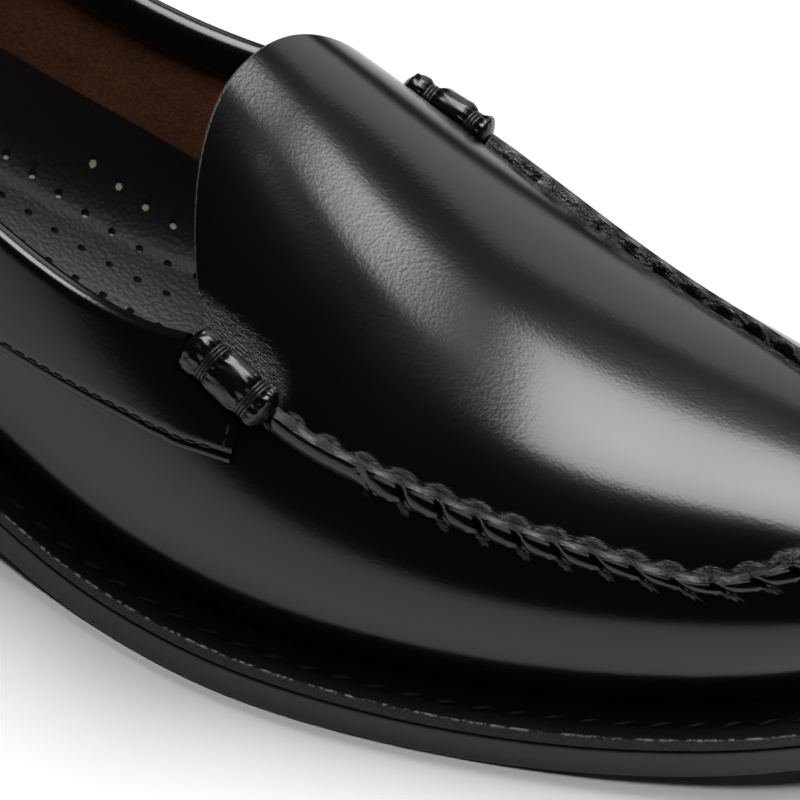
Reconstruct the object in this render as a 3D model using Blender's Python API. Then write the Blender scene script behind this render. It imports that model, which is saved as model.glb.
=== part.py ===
"""A right venetian loafer: a moccasin-seamed slip-on with a plain apron, a rolled topline and a stacked heel.

Lengths are in millimetres until the last step, which writes metres. In the shoe's own plan x runs from the
back of the heel to the toe, y from the lateral side (minus) to the medial side (plus), and h is a height
above the top of the welt. The finished shoe stands on z = 0, with its origin under the centre of its plan.
"""

import math

import bmesh
import bpy
import numpy as np
from mathutils import Vector

# The last, as the outside of the leather: its ends on the widest line, and the height of that line
HEEL_BACK = 3.0
TOE_TIP = 292.0
WIDEST_HEIGHT = 13.0
TUCK_IN = 3.2
HEEL_PLAN_RADIUS = 30.0
TOE_PLAN_RADIUS = 28.0
HEEL_SIDE_RADIUS = 150.0
TOE_SIDE_RADIUS = 20.0

# One row for each section: place along the shoe, half widths, height of the crest, its lean to the inside
SECTION_COLUMNS = ("x", "lateral", "medial", "crest", "lean")
SECTIONS = (
    (20.0, 28.0, 27.0, 76.0, 0.0),
    (45.0, 32.0, 31.5, 86.0, 0.0),
    (75.0, 31.6, 31.0, 90.0, 1.0),
    (105.0, 32.2, 30.5, 86.2, 3.0),
    (135.0, 38.0, 34.8, 80.6, 5.5),
    (160.0, 44.4, 40.4, 71.3, 7.2),
    (185.0, 48.2, 44.7, 58.2, 5.2),
    (210.0, 45.7, 46.0, 46.5, 3.4),
    (235.0, 38.8, 44.1, 39.2, 2.2),
    (260.0, 28.8, 38.0, 35.0, 1.6),
    (280.0, 17.0, 27.0, 28.5, 0.6),
)
# How square each section is: 2 is an ellipse, and more is a fuller shoulder
FULLNESS_PLACES = (3.0, 60.0, 150.0, 200.0, 292.0)
FULLNESS_VALUES = (2.0, 2.0, 2.1, 2.3, 2.3)

# The moccasin seam in plan: place, half width of the apron and its middle
SEAM_COLUMNS = ("x", "half_width", "middle")
SEAM = (
    (150.0, 34.2, 1.4),
    (170.0, 36.6, 1.3),
    (190.0, 37.3, -1.2),
    (210.0, 34.7, -1.6),
    (230.0, 31.2, -1.0),
    (245.0, 27.8, -0.6),
    (258.0, 23.4, -0.9),
)
SEAM_FRONT = 278.0
SEAM_FRONT_MIDDLE = 1.0
SEAM_SPREAD_START = 130.0
THROAT = 170.0
TONGUE_RISE = 12.0
TONGUE_SKEW = 0.3
RIDGE_HEIGHT = 2.2
RIDGE_REACH = 2.2
RIDGE_FADE = 4.0

# The topline: height above the welt on each side, at these places, up to the throat
TOPLINE_PLACES = (3.0, 40.0, 80.0, 115.0, 150.0)
TOPLINE_LATERAL = (54.5, 49.5, 45.5, 42.0, 42.2)
TOPLINE_MEDIAL = (54.5, 50.5, 46.9, 43.8, 44.0)

LEATHER = 2.0
GAP = 0.3

# The bottom of the shoe
HEEL_HEIGHT = 17.5
HEEL_BREAST = 74.0
WAIST_END = 168.0
FLAT_END = 218.0
TOE_SPRING = 9.0
HEEL_SEAT_SLOPE = 0.012
OUTSOLE = 6.0
WELT = 2.6
MARGIN_PLACES = (0.0, 55.0, 110.0, 150.0, 298.0)
MARGIN_VALUES = (2.8, 3.0, 4.4, 5.0, 5.0)
WELT_LEDGE = 10.0
TOP_PIECE = 5.5
HEEL_INSET = 0.5
HEEL_TAPER = 1.2

# The sock over the insole, with the wing that it has at the inside arch
INSOLE = 3.5
WING_HEIGHT = 12.0
WING_PLACE = 105.0
WING_REACH = 48.0
WING_WIDTH = 14.0

# The collar, turned over the topline, and the tied rolls at the ends of the seam
COLLAR = 1.0
COLLAR_INSIDE = 4.6
COLLAR_PLACES = (3.0, 60.0, 110.0, 150.0, 170.0, 183.0)
COLLAR_DEPTHS = (26.0, 24.0, 19.5, 16.0, 15.2, 11.4)
COLLAR_FRONT = 11.7
SIDE_ROLL_LENGTH = 19.0
SIDE_ROLL_RADIUS = 3.9
SIDE_ROLL_TIES = (0.3, 0.78)
TIE_DEPTH = 0.7

# Facets
OUTLINE_STEPS = 720
APRON_ALONG = 20
APRON_ACROSS = 12
REAR_COLUMNS = 44
TURN_WEIGHT = 60.0
UPPER_ROWS = 5
PROFILE_SAMPLES = 40
SOLE_STATIONS = 40
HEEL_STATIONS = 16
WELD = 0.002
MILLIMETRE = 0.001


def smooth_curve(places, values):
    """A natural cubic spline through a short table."""
    x = np.array(places, float)
    y = np.array(values, float)
    gaps = np.diff(x)
    system = np.eye(len(x))
    right = np.zeros(len(x))
    for i in range(1, len(x) - 1):
        system[i, i - 1 : i + 2] = gaps[i - 1], 2 * (gaps[i - 1] + gaps[i]), gaps[i]
        right[i] = 6 * ((y[i + 1] - y[i]) / gaps[i] - (y[i] - y[i - 1]) / gaps[i - 1])
    bend = np.linalg.solve(system, right)

    def value(at):
        at = np.asarray(at, float)
        i = np.clip(np.searchsorted(x, at) - 1, 0, len(x) - 2)
        d = at - x[i]
        slope = (y[i + 1] - y[i]) / gaps[i] - gaps[i] * (2 * bend[i] + bend[i + 1]) / 6
        return y[i] + slope * d + bend[i] / 2 * d**2 + (bend[i + 1] - bend[i]) / (6 * gaps[i]) * d**3

    return value


def ramp(value):
    """0 below 0, 1 above 1 and an even curve between."""
    value = np.clip(value, 0, 1)
    return value * value * (3 - 2 * value)


def column(table, names, name):
    return np.array([row[names.index(name)] for row in table])


MIDDLE = (HEEL_BACK + TOE_TIP) / 2
HALF_LENGTH = (TOE_TIP - HEEL_BACK) / 2


def station(x):
    """The angle that goes from 0 at the heel to pi at the toe, in which a rounded end is smooth."""
    return np.arccos(np.clip((MIDDLE - np.asarray(x, float)) / HALF_LENGTH, -1, 1))


def closed_size(sizes, heel_radius, toe_radius):
    """A half width or a height along the shoe, which closes with these radii at the heel and the toe."""
    angle = station(column(SECTIONS, SECTION_COLUMNS, "x"))
    ends = np.sqrt(np.array([heel_radius, toe_radius]) * HALF_LENGTH)
    shape = smooth_curve(
        np.concatenate([[0.0], angle, [math.pi]]),
        np.concatenate([ends[:1], sizes / np.sin(angle), ends[1:]]),
    )
    return lambda x: np.sin(station(x)) * shape(station(x))


def open_size(sizes):
    """A value along the shoe that stays as it is past the first and the last section."""
    angle = station(column(SECTIONS, SECTION_COLUMNS, "x"))
    shape = smooth_curve(
        np.concatenate([[0.0], angle, [math.pi]]),
        np.concatenate([sizes[:1], sizes, sizes[-1:]]),
    )
    return lambda x: shape(station(x))


LATERAL = column(SECTIONS, SECTION_COLUMNS, "lateral")
MEDIAL = column(SECTIONS, SECTION_COLUMNS, "medial")
CREST = column(SECTIONS, SECTION_COLUMNS, "crest")
half_width = closed_size((LATERAL + MEDIAL) / 2, HEEL_PLAN_RADIUS, TOE_PLAN_RADIUS)
rise = closed_size(CREST - WIDEST_HEIGHT, HEEL_SIDE_RADIUS, TOE_SIDE_RADIUS)
centre = open_size((MEDIAL - LATERAL) / 2)
lean = open_size(column(SECTIONS, SECTION_COLUMNS, "lean"))
fullness = smooth_curve(FULLNESS_PLACES, FULLNESS_VALUES)
margin = smooth_curve(MARGIN_PLACES, MARGIN_VALUES)


def height(x, y):
    """The height of the last above the welt at a point of the plan, found by halving."""
    width = np.maximum(half_width(x), 1e-6)
    power = fullness(x)
    low = np.zeros(np.shape(x))
    high = np.ones(np.shape(x))
    for _ in range(30):
        share = (low + high) / 2
        across = np.abs(y - centre(x) - lean(x) * share) / width
        inside = across**power + share**power < 1
        low = np.where(inside, share, low)
        high = np.where(inside, high, share)
    return WIDEST_HEIGHT + rise(x) * low


def under(x):
    """The underside of the outsole above the floor: heel seat, waist, flat tread and toe spring."""
    along = np.clip((x - HEEL_BREAST) / (WAIST_END - HEEL_BREAST), 0, 1)
    heel = HEEL_HEIGHT * (1 + np.cos(math.pi * along)) / 2
    seat = HEEL_SEAT_SLOPE * np.clip(HEEL_BREAST - x, 0, None)
    spring = np.clip(x - FLAT_END, 0, None) / (TOE_TIP + MARGIN_VALUES[-1] - FLAT_END)
    return heel + seat + TOE_SPRING * spring**2


def welt_top(x):
    return under(x) + OUTSOLE + GAP + WELT


def make_outline():
    """The widest line: plan points from the heel round by the lateral side, outward normals and shares."""
    x = MIDDLE - HALF_LENGTH * np.cos(np.linspace(0, math.pi, OUTLINE_STEPS))
    lateral_side = np.stack([x, centre(x) - half_width(x)], -1)
    medial_side = np.stack([x, centre(x) + half_width(x)], -1)[::-1]
    loop = np.concatenate([lateral_side[:-1], medial_side[:-1]])
    along = np.roll(loop, -1, 0) - np.roll(loop, 1, 0)
    normal = np.stack([along[:, 1], -along[:, 0]], -1) / np.linalg.norm(along, axis=1)[:, None]
    closed = np.concatenate([loop, loop[:1]])
    run = np.concatenate([[0], np.cumsum(np.linalg.norm(np.diff(closed, axis=0), axis=1))])
    return closed, np.concatenate([normal, normal[:1]]), run / run[-1]


OUTLINE, OUTLINE_NORMAL, OUTLINE_SHARE = make_outline()
TOE_INDEX = OUTLINE_STEPS - 1
SOLE_OUTLINE = OUTLINE + OUTLINE_NORMAL * margin(OUTLINE[:, 0])[:, None]
PLAN_CENTRE = Vector((*((SOLE_OUTLINE.min(0) + SOLE_OUTLINE.max(0)) / 2), 0))


def outline_at(share):
    """Plan points and outward normals of the widest line at shares of the way round it."""
    share = np.mod(share, 1.0)
    point = np.stack([np.interp(share, OUTLINE_SHARE, OUTLINE[:, i]) for i in (0, 1)], -1)
    normal = np.stack([np.interp(share, OUTLINE_SHARE, OUTLINE_NORMAL[:, i]) for i in (0, 1)], -1)
    return point, normal / np.linalg.norm(normal, axis=-1)[..., None]


def share_at(x, side):
    """The share at which the widest line passes x, on the lateral (-1) or the medial (1) side."""
    if side < 0:
        return np.interp(x, OUTLINE[: TOE_INDEX + 1, 0], OUTLINE_SHARE[: TOE_INDEX + 1])
    return np.interp(x, OUTLINE[TOE_INDEX:, 0][::-1], OUTLINE_SHARE[TOE_INDEX:][::-1])


def tuck(h):
    """How far inside the widest line the wall is below it."""
    return TUCK_IN * (1 - np.clip(h / WIDEST_HEIGHT, 0, 1)) ** 2


def along_line(start, end, target):
    """The share of a plan line, from the widest line inward, at which the last reaches a height."""
    low = np.zeros(len(start))
    high = np.ones(len(start))
    for _ in range(26):
        half = ((low + high) / 2)[:, None]
        here = start + (end - start) * half
        short = height(here[:, 0], here[:, 1]) < target
        low = np.where(short, half[:, 0], low)
        high = np.where(short, high, half[:, 0])
    return low


def raised(plan, h):
    """Points in space from plan points and heights above the welt."""
    return np.concatenate([plan, (welt_top(plan[..., 0]) + h)[..., None]], -1)


def seam_side(x, side):
    """The plan of the moccasin seam on one side."""
    places = column(SEAM, SEAM_COLUMNS, "x")
    reach = SEAM_FRONT - SEAM_SPREAD_START
    closing = lambda at: np.sqrt(np.clip(1 - ((at - SEAM_SPREAD_START) / reach) ** 2, 0, 1))
    full = column(SEAM, SEAM_COLUMNS, "half_width") / closing(places)
    width = smooth_curve(np.append(places, SEAM_FRONT), np.append(full, full[-1]))
    middles = np.append(column(SEAM, SEAM_COLUMNS, "middle"), SEAM_FRONT_MIDDLE)
    middle = smooth_curve(np.append(places, SEAM_FRONT), middles)
    return np.stack([x, middle(x) + side * width(x) * closing(x)], -1)


def even_steps(points, count):
    """A line through points again, in even steps."""
    run = np.concatenate([[0], np.cumsum(np.linalg.norm(np.diff(points, axis=0), axis=1))])
    even = np.linspace(0, run[-1], count)
    return np.stack([np.interp(even, run, points[:, i]) for i in range(points.shape[1])], -1)


def seam_loop():
    """The seam in plan, from the lateral end of the throat round the toe to the medial end."""
    reach = SEAM_FRONT - SEAM_SPREAD_START
    start = math.asin((THROAT - SEAM_SPREAD_START) / reach)
    x = SEAM_SPREAD_START + reach * np.sin(np.linspace(start, math.pi / 2, 300))
    both = np.concatenate([seam_side(x, -1), seam_side(x, 1)[::-1][1:]])
    return even_steps(both, 2 * APRON_ALONG + APRON_ACROSS + 1)


def run_along(points):
    """Distance along a line of points."""
    return np.concatenate([[0], np.cumsum(np.linalg.norm(np.diff(points, axis=0), axis=1))])


def ridge_share(points):
    """How much of the ridge the seam has at each of its points: none under the tied rolls."""
    run = run_along(points)
    nearest_end = np.minimum(run, run[-1] - run)
    return ramp((nearest_end - SIDE_ROLL_LENGTH - GAP) / RIDGE_FADE)


def rear_shares(first, last):
    """Shares round the back of the shoe, closer together where the outline turns, and near both ends."""
    fine = np.linspace(first, last, OUTLINE_STEPS)
    point, normal = outline_at(fine)
    step = np.linalg.norm(np.diff(point, axis=0), axis=1)
    turn = np.linalg.norm(np.diff(normal, axis=0), axis=1)
    run = np.concatenate([[0], np.cumsum(step + TURN_WEIGHT * turn)])
    inner = (np.arange(REAR_COLUMNS) + 0.35) / (REAR_COLUMNS - 0.3)
    return np.interp(inner * run[-1], run, fine)


class Wall:
    """The wall of the upper as columns from the feather edge to the seam or the topline."""

    def __init__(self):
        self.seam = seam_loop()
        first = share_at(THROAT, -1)
        last = share_at(THROAT, 1)
        front = first + (last - first) * np.linspace(0, 1, len(self.seam))
        rear = rear_shares(last, 1 + first)
        self.share = np.concatenate([front, rear])
        self.base, self.normal = outline_at(self.share)
        self.top = np.concatenate([self.seam, self.topline_plan(rear)])
        self.front_count = len(self.seam)
        self.lines = self.make_lines()

    def straight_in(self, share, h):
        """Plan points at a height, straight in from the widest line."""
        point, normal = outline_at(share)
        inward = point - normal * 29.0
        return point + (inward - point) * along_line(point, inward, h)[:, None]

    def topline_plan(self, share):
        """Plan points of the topline, which starts and ends at the ends of the seam."""
        point, _ = outline_at(share)
        ends = self.seam[[0, -1]]
        end_heights = height(ends[:, 0], ends[:, 1])
        side = np.where(point[:, 1] < centre(point[:, 0]), -1, 1)
        h = np.zeros(len(share))
        for sign, values, end in zip((-1, 1), (TOPLINE_LATERAL, TOPLINE_MEDIAL), end_heights):
            curve = smooth_curve(TOPLINE_PLACES + (THROAT,), values + (end,))
            h = np.where(side == sign, curve(point[:, 0]), h)
        plan = self.straight_in(share, h)
        for sign, corner, end in zip((-1, 1), ends, end_heights):
            shift = corner - self.straight_in(np.array([share_at(THROAT, sign)]), np.array([end]))[0]
            near = np.exp(-(((point[:, 0] - THROAT) / 14.0) ** 2)) * (side == sign)
            plan = plan + shift * near[:, None]
        return plan

    def make_lines(self):
        """Each column as a fine line of points in space, with the index of the widest line."""
        rows = []
        lower = np.linspace(GAP, WIDEST_HEIGHT, PROFILE_SAMPLES // 4)
        for h in lower:
            rows.append(raised(self.base - self.normal * tuck(h), np.full(len(self.base), h)))
        top = height(self.top[:, 0], self.top[:, 1])
        for share in np.sin(np.linspace(0, math.pi / 2, PROFILE_SAMPLES))[1:]:
            h = WIDEST_HEIGHT + (top - WIDEST_HEIGHT) * share
            where = along_line(self.base, self.top, h) if share < 1 else np.ones(len(self.base))
            rows.append(raised(self.base + (self.top - self.base) * where[:, None], h))
        self.widest_row = len(lower) - 1
        return np.array(rows).transpose(1, 0, 2)

    def at_depth(self, position, depth):
        """A point at a distance below the top of a column, or between two, measured on the leather."""
        index = int(math.floor(position))
        share = position - index
        count = len(self.lines)
        line = (1 - share) * self.lines[index % count] + share * self.lines[(index + 1) % count]
        run = run_along(line)
        return np.array([np.interp(run[-1] - depth, run, line[:, i]) for i in range(3)])

    def rows(self):
        """The points of the wall's facets: rows from the feather edge to the ridge, for each column."""
        table = []
        for index, line in enumerate(self.lines):
            run = run_along(line)
            lower = run[[0, self.widest_row // 2, self.widest_row]]
            upper = np.linspace(run[self.widest_row], run[-1] - RIDGE_REACH, UPPER_ROWS + 1)[1:]
            ridge = run[-1] - np.array([RIDGE_REACH / 2, 0])
            where = run[-1] - np.concatenate([lower, upper, ridge])
            table.append([self.at_depth(index, depth) for depth in where])
        return np.array(table)


def frames(points, below):
    """Outward normals and directions up the leather, for a line of points and the points below them."""
    ahead = np.gradient(points, run_along(points), axis=0)
    up = points - below
    outward = np.cross(ahead, up)
    outward /= np.linalg.norm(outward, axis=1)[:, None]
    up = np.cross(outward, ahead)
    return outward, up / np.linalg.norm(up, axis=1)[:, None]


def add_patch(mesh, points):
    """A grid of faces through a table of points, rows by columns."""
    rows, columns = points.shape[:2]
    grid = bmesh.ops.create_grid(mesh, x_segments=columns - 1, y_segments=rows - 1, size=1)
    for vertex, place in zip(grid["verts"], points.reshape(-1, 3)):
        vertex.co = place
    return grid["verts"]


def finish_piece(name, mesh, color, roughness, metallic=0.0):
    """Close a mesh, move it to the shoe's origin in metres and give it its object and material."""
    bmesh.ops.remove_doubles(mesh, verts=mesh.verts, dist=WELD)
    bmesh.ops.dissolve_degenerate(mesh, edges=mesh.edges, dist=WELD)
    bmesh.ops.recalc_face_normals(mesh, faces=mesh.faces)
    for vertex in mesh.verts:
        vertex.co = (vertex.co - PLAN_CENTRE) * MILLIMETRE
    data = bpy.data.meshes.new(name)
    mesh.to_mesh(data)
    mesh.free()
    data.shade_smooth()
    data.set_sharp_from_angle(angle=math.radians(40))
    piece = bpy.data.objects.new(name, data)
    bpy.context.collection.objects.link(piece)
    material = bpy.data.materials.new(name)
    material.use_nodes = True
    shader = material.node_tree.nodes["Principled BSDF"]
    shader.inputs["Base Color"].default_value = (*color, 1.0)
    shader.inputs["Roughness"].default_value = roughness
    shader.inputs["Metallic"].default_value = metallic
    data.materials.append(material)
    return piece


def two_sided(name, pairs, color, roughness):
    """A solid from pairs of patches: the first of each pair is its outside, and the second its inside."""
    mesh = bmesh.new()
    across = mesh.verts.layers.float_vector.new("across")
    for outside, inside in pairs:
        moves = (inside - outside).reshape(-1, 3)
        for vertex, move in zip(add_patch(mesh, outside), moves):
            vertex[across] = move
    bmesh.ops.remove_doubles(mesh, verts=mesh.verts, dist=WELD)
    bmesh.ops.recalc_face_normals(mesh, faces=mesh.faces)
    extruded = bmesh.ops.extrude_face_region(mesh, geom=mesh.faces[:], use_keep_orig=True)
    for part in extruded["geom"]:
        if isinstance(part, bmesh.types.BMVert):
            part.co += part[across]
    return finish_piece(name, mesh, color, roughness)


def ladder(edges, level, columns):
    """A patch from the lateral edge to the medial one, at a height that depends on x alone."""
    t = np.linspace(0, 1, columns + 1)[None, :, None]
    plan = (1 - t) * edges[0][:, None] + t * edges[1][:, None]
    return np.concatenate([plan, level(plan[..., 0])[..., None]], -1)


def sole_edges(first, last, count, outward):
    """The lateral and the medial edge of a flat piece, at a distance outside the widest line."""
    x = MIDDLE - HALF_LENGTH * np.cos(np.linspace(station(first), station(last), count))
    edges = []
    for side in (-1, 1):
        point, normal = outline_at(share_at(x, side))
        edges.append(point + normal * outward(point[:, 0])[:, None])
    return edges


def make_outsole():
    edges = sole_edges(HEEL_BACK, TOE_TIP, SOLE_STATIONS, margin)
    top = ladder(edges, lambda x: under(x) + OUTSOLE, 4)
    bottom = ladder(edges, under, 4)
    return two_sided("outsole", [(top, bottom)], (0.03, 0.03, 0.032), 0.5)


def make_heel():
    """The stack of leather lifts and the rubber top piece that meets the floor."""
    base = lambda x: margin(x) - HEEL_INSET
    middle = lambda x: base(x) - HEEL_TAPER * 2 / 3
    floor = lambda x: base(x) - HEEL_TAPER
    stack_top = ladder(heel_edges(base), lambda x: under(x) - GAP, 4)
    stack_bottom = ladder(heel_edges(middle), lambda x: 0 * x + TOP_PIECE + GAP, 4)
    two_sided("heel_stack", [(stack_top, stack_bottom)], (0.03, 0.03, 0.032), 0.5)
    rubber_top = ladder(heel_edges(middle), lambda x: 0 * x + TOP_PIECE, 4)
    rubber_bottom = ladder(heel_edges(floor), lambda x: 0 * x, 4)
    two_sided("heel_top_piece", [(rubber_top, rubber_bottom)], (0.02, 0.02, 0.02), 0.7)


def heel_edges(outward):
    return sole_edges(HEEL_BACK, HEEL_BREAST - 2 * GAP, HEEL_STATIONS, outward)


def make_welt():
    """A flat ring under the edge of the upper, with its outer edge over the edge of the outsole."""
    share = np.concatenate([share_at(stations(), -1), share_at(stations(), 1)[::-1][1:]])
    point, normal = outline_at(share)
    outer = point + normal * margin(point[:, 0])[:, None]
    inner = point - normal * WELT_LEDGE
    low, high = OUTSOLE + GAP, OUTSOLE + GAP + WELT
    corners = ((outer, low), (outer, high), (inner, high), (inner, low), (outer, low))
    rows = [np.concatenate([plan, (under(plan[:, 0]) + level)[:, None]], -1) for plan, level in corners]
    mesh = bmesh.new()
    add_patch(mesh, np.stack(rows))
    return finish_piece("welt", mesh, (0.02, 0.02, 0.02), 0.6)


def stations():
    return MIDDLE - HALF_LENGTH * np.cos(np.linspace(0, math.pi, SOLE_STATIONS + 4))


def make_insole():
    """The insole with its sock, which runs up the inside of the arch as a wing."""
    x = MIDDLE - HALF_LENGTH * np.cos(np.linspace(0, math.pi, SOLE_STATIONS))
    steps = np.array([0.0, 1.5, 4.0, 8.0, WING_WIDTH])
    wing = WING_HEIGHT * np.exp(-(((x - WING_PLACE) / WING_REACH) ** 4))
    inside = LEATHER * 1.2 + GAP
    top, bottom = [], []
    for side in (-1, 1):
        point, normal = outline_at(share_at(x, side))
        clear = np.minimum(1.0, half_width(point[:, 0]) / 24.0)
        for step in steps:
            h = INSOLE + (side > 0) * wing * (1 - step / WING_WIDTH) ** 2
            plan_top = point - normal * (tuck(h) + inside + step * clear)[:, None]
            plan_bottom = point - normal * (tuck(GAP) + inside + step * clear)[:, None]
            top.append(raised(plan_top, h))
            bottom.append(raised(plan_bottom, np.full(len(x), GAP)))
    order = list(range(len(steps))) + list(range(2 * len(steps) - 1, len(steps) - 1, -1))
    top, bottom = (np.stack([rows[i] for i in order]) for rows in (top, bottom))
    return two_sided("insole", [(top, bottom)], (0.015, 0.015, 0.016), 0.6)


def apron_rows(wall):
    """The seam with the two lines beside it, and the patch of the apron inside them."""
    loop = wall.seam
    along = np.gradient(loop, axis=0)
    inward = np.stack([-along[:, 1], along[:, 0]], -1) / np.linalg.norm(along, axis=1)[:, None]
    step = RIDGE_REACH * 0.8
    plans = [loop, loop + inward * step / 2, loop + inward * step]
    strips = np.stack([raised(plan, height(plan[:, 0], plan[:, 1])) for plan in plans])
    edge = plans[-1]
    left = edge[: APRON_ALONG + 1]
    front = edge[APRON_ALONG : APRON_ALONG + APRON_ACROSS + 1]
    right = edge[APRON_ALONG + APRON_ACROSS :][::-1]
    across = np.linspace(-1, 1, APRON_ACROSS + 1)
    bulge = TONGUE_RISE * (1 - np.abs(across) ** 2.2) * (1 - TONGUE_SKEW * across)
    back = (left[0] + right[0]) / 2 + across[:, None] * (right[0] - left[0]) / 2
    back = back - np.stack([bulge, 0 * bulge], -1)
    s = np.linspace(0, 1, APRON_ALONG + 1)[:, None, None]
    t = np.linspace(0, 1, APRON_ACROSS + 1)[None, :, None]
    sides = (1 - t) * left[:, None] + t * right[:, None]
    ends = (1 - s) * back[None] + s * front[None]
    corners = (1 - s) * ((1 - t) * left[0] + t * right[0]) + s * ((1 - t) * left[-1] + t * right[-1])
    plan = sides + ends - corners
    return strips, raised(plan, height(plan[..., 0], plan[..., 1]))


def make_upper(wall):
    """One hollow solid: wall and apron as a skin, thickened inward, with the seam raised outward."""
    rows = wall.rows()
    closed = np.concatenate([rows, rows[:1]])
    strips, apron = apron_rows(wall)
    mesh = bmesh.new()
    add_patch(mesh, closed)
    add_patch(mesh, strips)
    add_patch(mesh, apron)
    bmesh.ops.remove_doubles(mesh, verts=mesh.verts, dist=WELD)
    bmesh.ops.recalc_face_normals(mesh, faces=mesh.faces)
    mesh.normal_update()
    if sum(vertex.normal.z for vertex in mesh.verts) < 0:
        bmesh.ops.reverse_faces(mesh, faces=mesh.faces)
        mesh.normal_update()
    ridge = ridge_share(strips[0])
    raise_by = {}
    for points, share in ((strips[0], 1.0), (strips[1], 0.8), (rows[: wall.front_count, -2], 0.8)):
        for place, amount in zip(points, ridge):
            raise_by[Vector(place).to_tuple(2)] = RIDGE_HEIGHT * share * amount
    inward = mesh.verts.layers.float_vector.new("inward")
    lift = mesh.verts.layers.float_vector.new("lift")
    feather = {Vector(place).to_tuple(2) for place in rows[:, 0]}
    for vertex in mesh.verts:
        place = vertex.co.to_tuple(2)
        direction = -vertex.normal
        if place in feather:
            direction = Vector((direction.x, direction.y, 0)).normalized() * 1.1
        vertex[inward] = direction * LEATHER
        vertex[lift] = vertex.normal * raise_by.get(place, 0.0)
    outer = mesh.verts[:]
    extruded = bmesh.ops.extrude_face_region(mesh, geom=mesh.faces[:], use_keep_orig=True)
    for vertex in extruded["geom"]:
        if isinstance(vertex, bmesh.types.BMVert):
            vertex.co += vertex[inward] + vertex[lift] / 2
    for vertex in outer:
        vertex.co += vertex[lift]
    return finish_piece("upper", mesh, (0.012, 0.012, 0.013), 0.18)


def wall_frames(wall, indices, depths):
    """Points on the wall at depths below its top, with the directions out of and up the leather there."""
    points = np.array([wall.at_depth(i, depth) for i, depth in zip(indices, depths)])
    below = np.array([wall.at_depth(i, depth + 1.5) for i, depth in zip(indices, depths)])
    return points, *frames(points, below)


def make_collar(wall):
    """The collar: a strip sewn to the outside of the upper, turned over its edge and down the inside."""
    run = run_along(wall.seam)
    ahead = np.interp(COLLAR_FRONT * np.array([1.0, 0.66, 0.33, 0.0]), run, np.arange(len(run)))
    last_of_seam = wall.front_count - 1
    behind = np.arange(wall.front_count, len(wall.lines))
    indices = np.concatenate([last_of_seam - ahead, behind, len(wall.lines) + ahead[::-1]])
    rear = slice(len(ahead), len(ahead) + len(behind))
    start = np.full(len(indices), SIDE_ROLL_RADIUS + 3 * GAP)
    start[rear] = COLLAR_INSIDE
    places = np.array([wall.at_depth(i, 0)[0] for i in indices])
    end = smooth_curve(COLLAR_PLACES, COLLAR_DEPTHS)(places)
    outside, inside = [], []
    for share in np.linspace(1, 0, 4):
        points, outward, _ = wall_frames(wall, indices, start + (end - start) * share)
        inside.append(points + outward * GAP)
        outside.append(points + outward * (GAP + COLLAR))
    turned = [outside[-1][rear]], [inside[-1][rear]]
    points, outward, up = wall_frames(wall, indices, np.zeros(len(indices)))
    points, outward, up = points[rear], outward[rear], up[rear]
    for turn in np.linspace(0, math.pi, 6):
        for side, reach in zip(turned, (GAP + COLLAR, GAP)):
            over = (LEATHER / 2 + reach) * math.cos(turn) - LEATHER / 2
            side.append(points + outward * over + up * (reach * math.sin(turn)))
    for side, reach in zip(turned, (GAP + COLLAR, GAP)):
        side.append(points - outward * (LEATHER + reach + GAP) - up * COLLAR_INSIDE)
    pairs = (outside, inside), turned
    pairs = [(np.stack(first), np.stack(second)) for first, second in pairs]
    return two_sided("collar", pairs, (0.012, 0.012, 0.013), 0.2)


def make_side_roll(wall, name, from_medial):
    """A short tied roll of leather over one end of the seam, with two turns of thread pulled in round it."""
    line = wall.lines[: wall.front_count, -1]
    below = np.array([wall.at_depth(i, 1.5) for i in range(wall.front_count)])
    if from_medial:
        line, below = line[::-1], below[::-1]
    run = run_along(line)
    count = 13
    where = np.linspace(0, SIDE_ROLL_LENGTH, count)
    pick = lambda data: np.stack([np.interp(where, run, data[:, i]) for i in range(3)], -1)
    points = pick(line)
    outward, up = frames(points, pick(below))
    if from_medial:
        outward = -outward
    share = where / SIDE_ROLL_LENGTH
    ends = np.sqrt(np.clip(1 - (2 * share - 1) ** 6, 0, 1)) * 0.45 + 0.55
    ties = sum(np.exp(-(((share - tie) * SIDE_ROLL_LENGTH / 0.9) ** 2)) for tie in SIDE_ROLL_TIES)
    radius = (SIDE_ROLL_RADIUS * ends - TIE_DEPTH * ties)[:, None]
    outer, inner = [], []
    for turn in np.linspace(-0.12, 1.12, 9) * math.pi:
        rim = outward * (GAP + 0.35 + radius * 0.5) + radius * (outward * math.sin(turn) * 0.95)
        outer.append(points + rim + up * radius * math.cos(turn))
        inner.append(points + outward * (GAP + 0.35) + up * radius * math.cos(turn) * 0.8)
    return two_sided(name, [(np.stack(outer), np.stack(inner))], (0.012, 0.012, 0.013), 0.2)


for thing in list(bpy.data.objects):
    bpy.data.objects.remove(thing, do_unlink=True)
the_wall = Wall()
make_outsole()
make_heel()
make_welt()
make_insole()
make_upper(the_wall)
make_collar(the_wall)
make_side_roll(the_wall, "side_roll_lateral", False)
make_side_roll(the_wall, "side_roll_medial", True)
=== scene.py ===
import math

import bmesh
import bpy
import numpy as np
from mathutils import Matrix, Vector, geometry, kdtree


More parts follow.
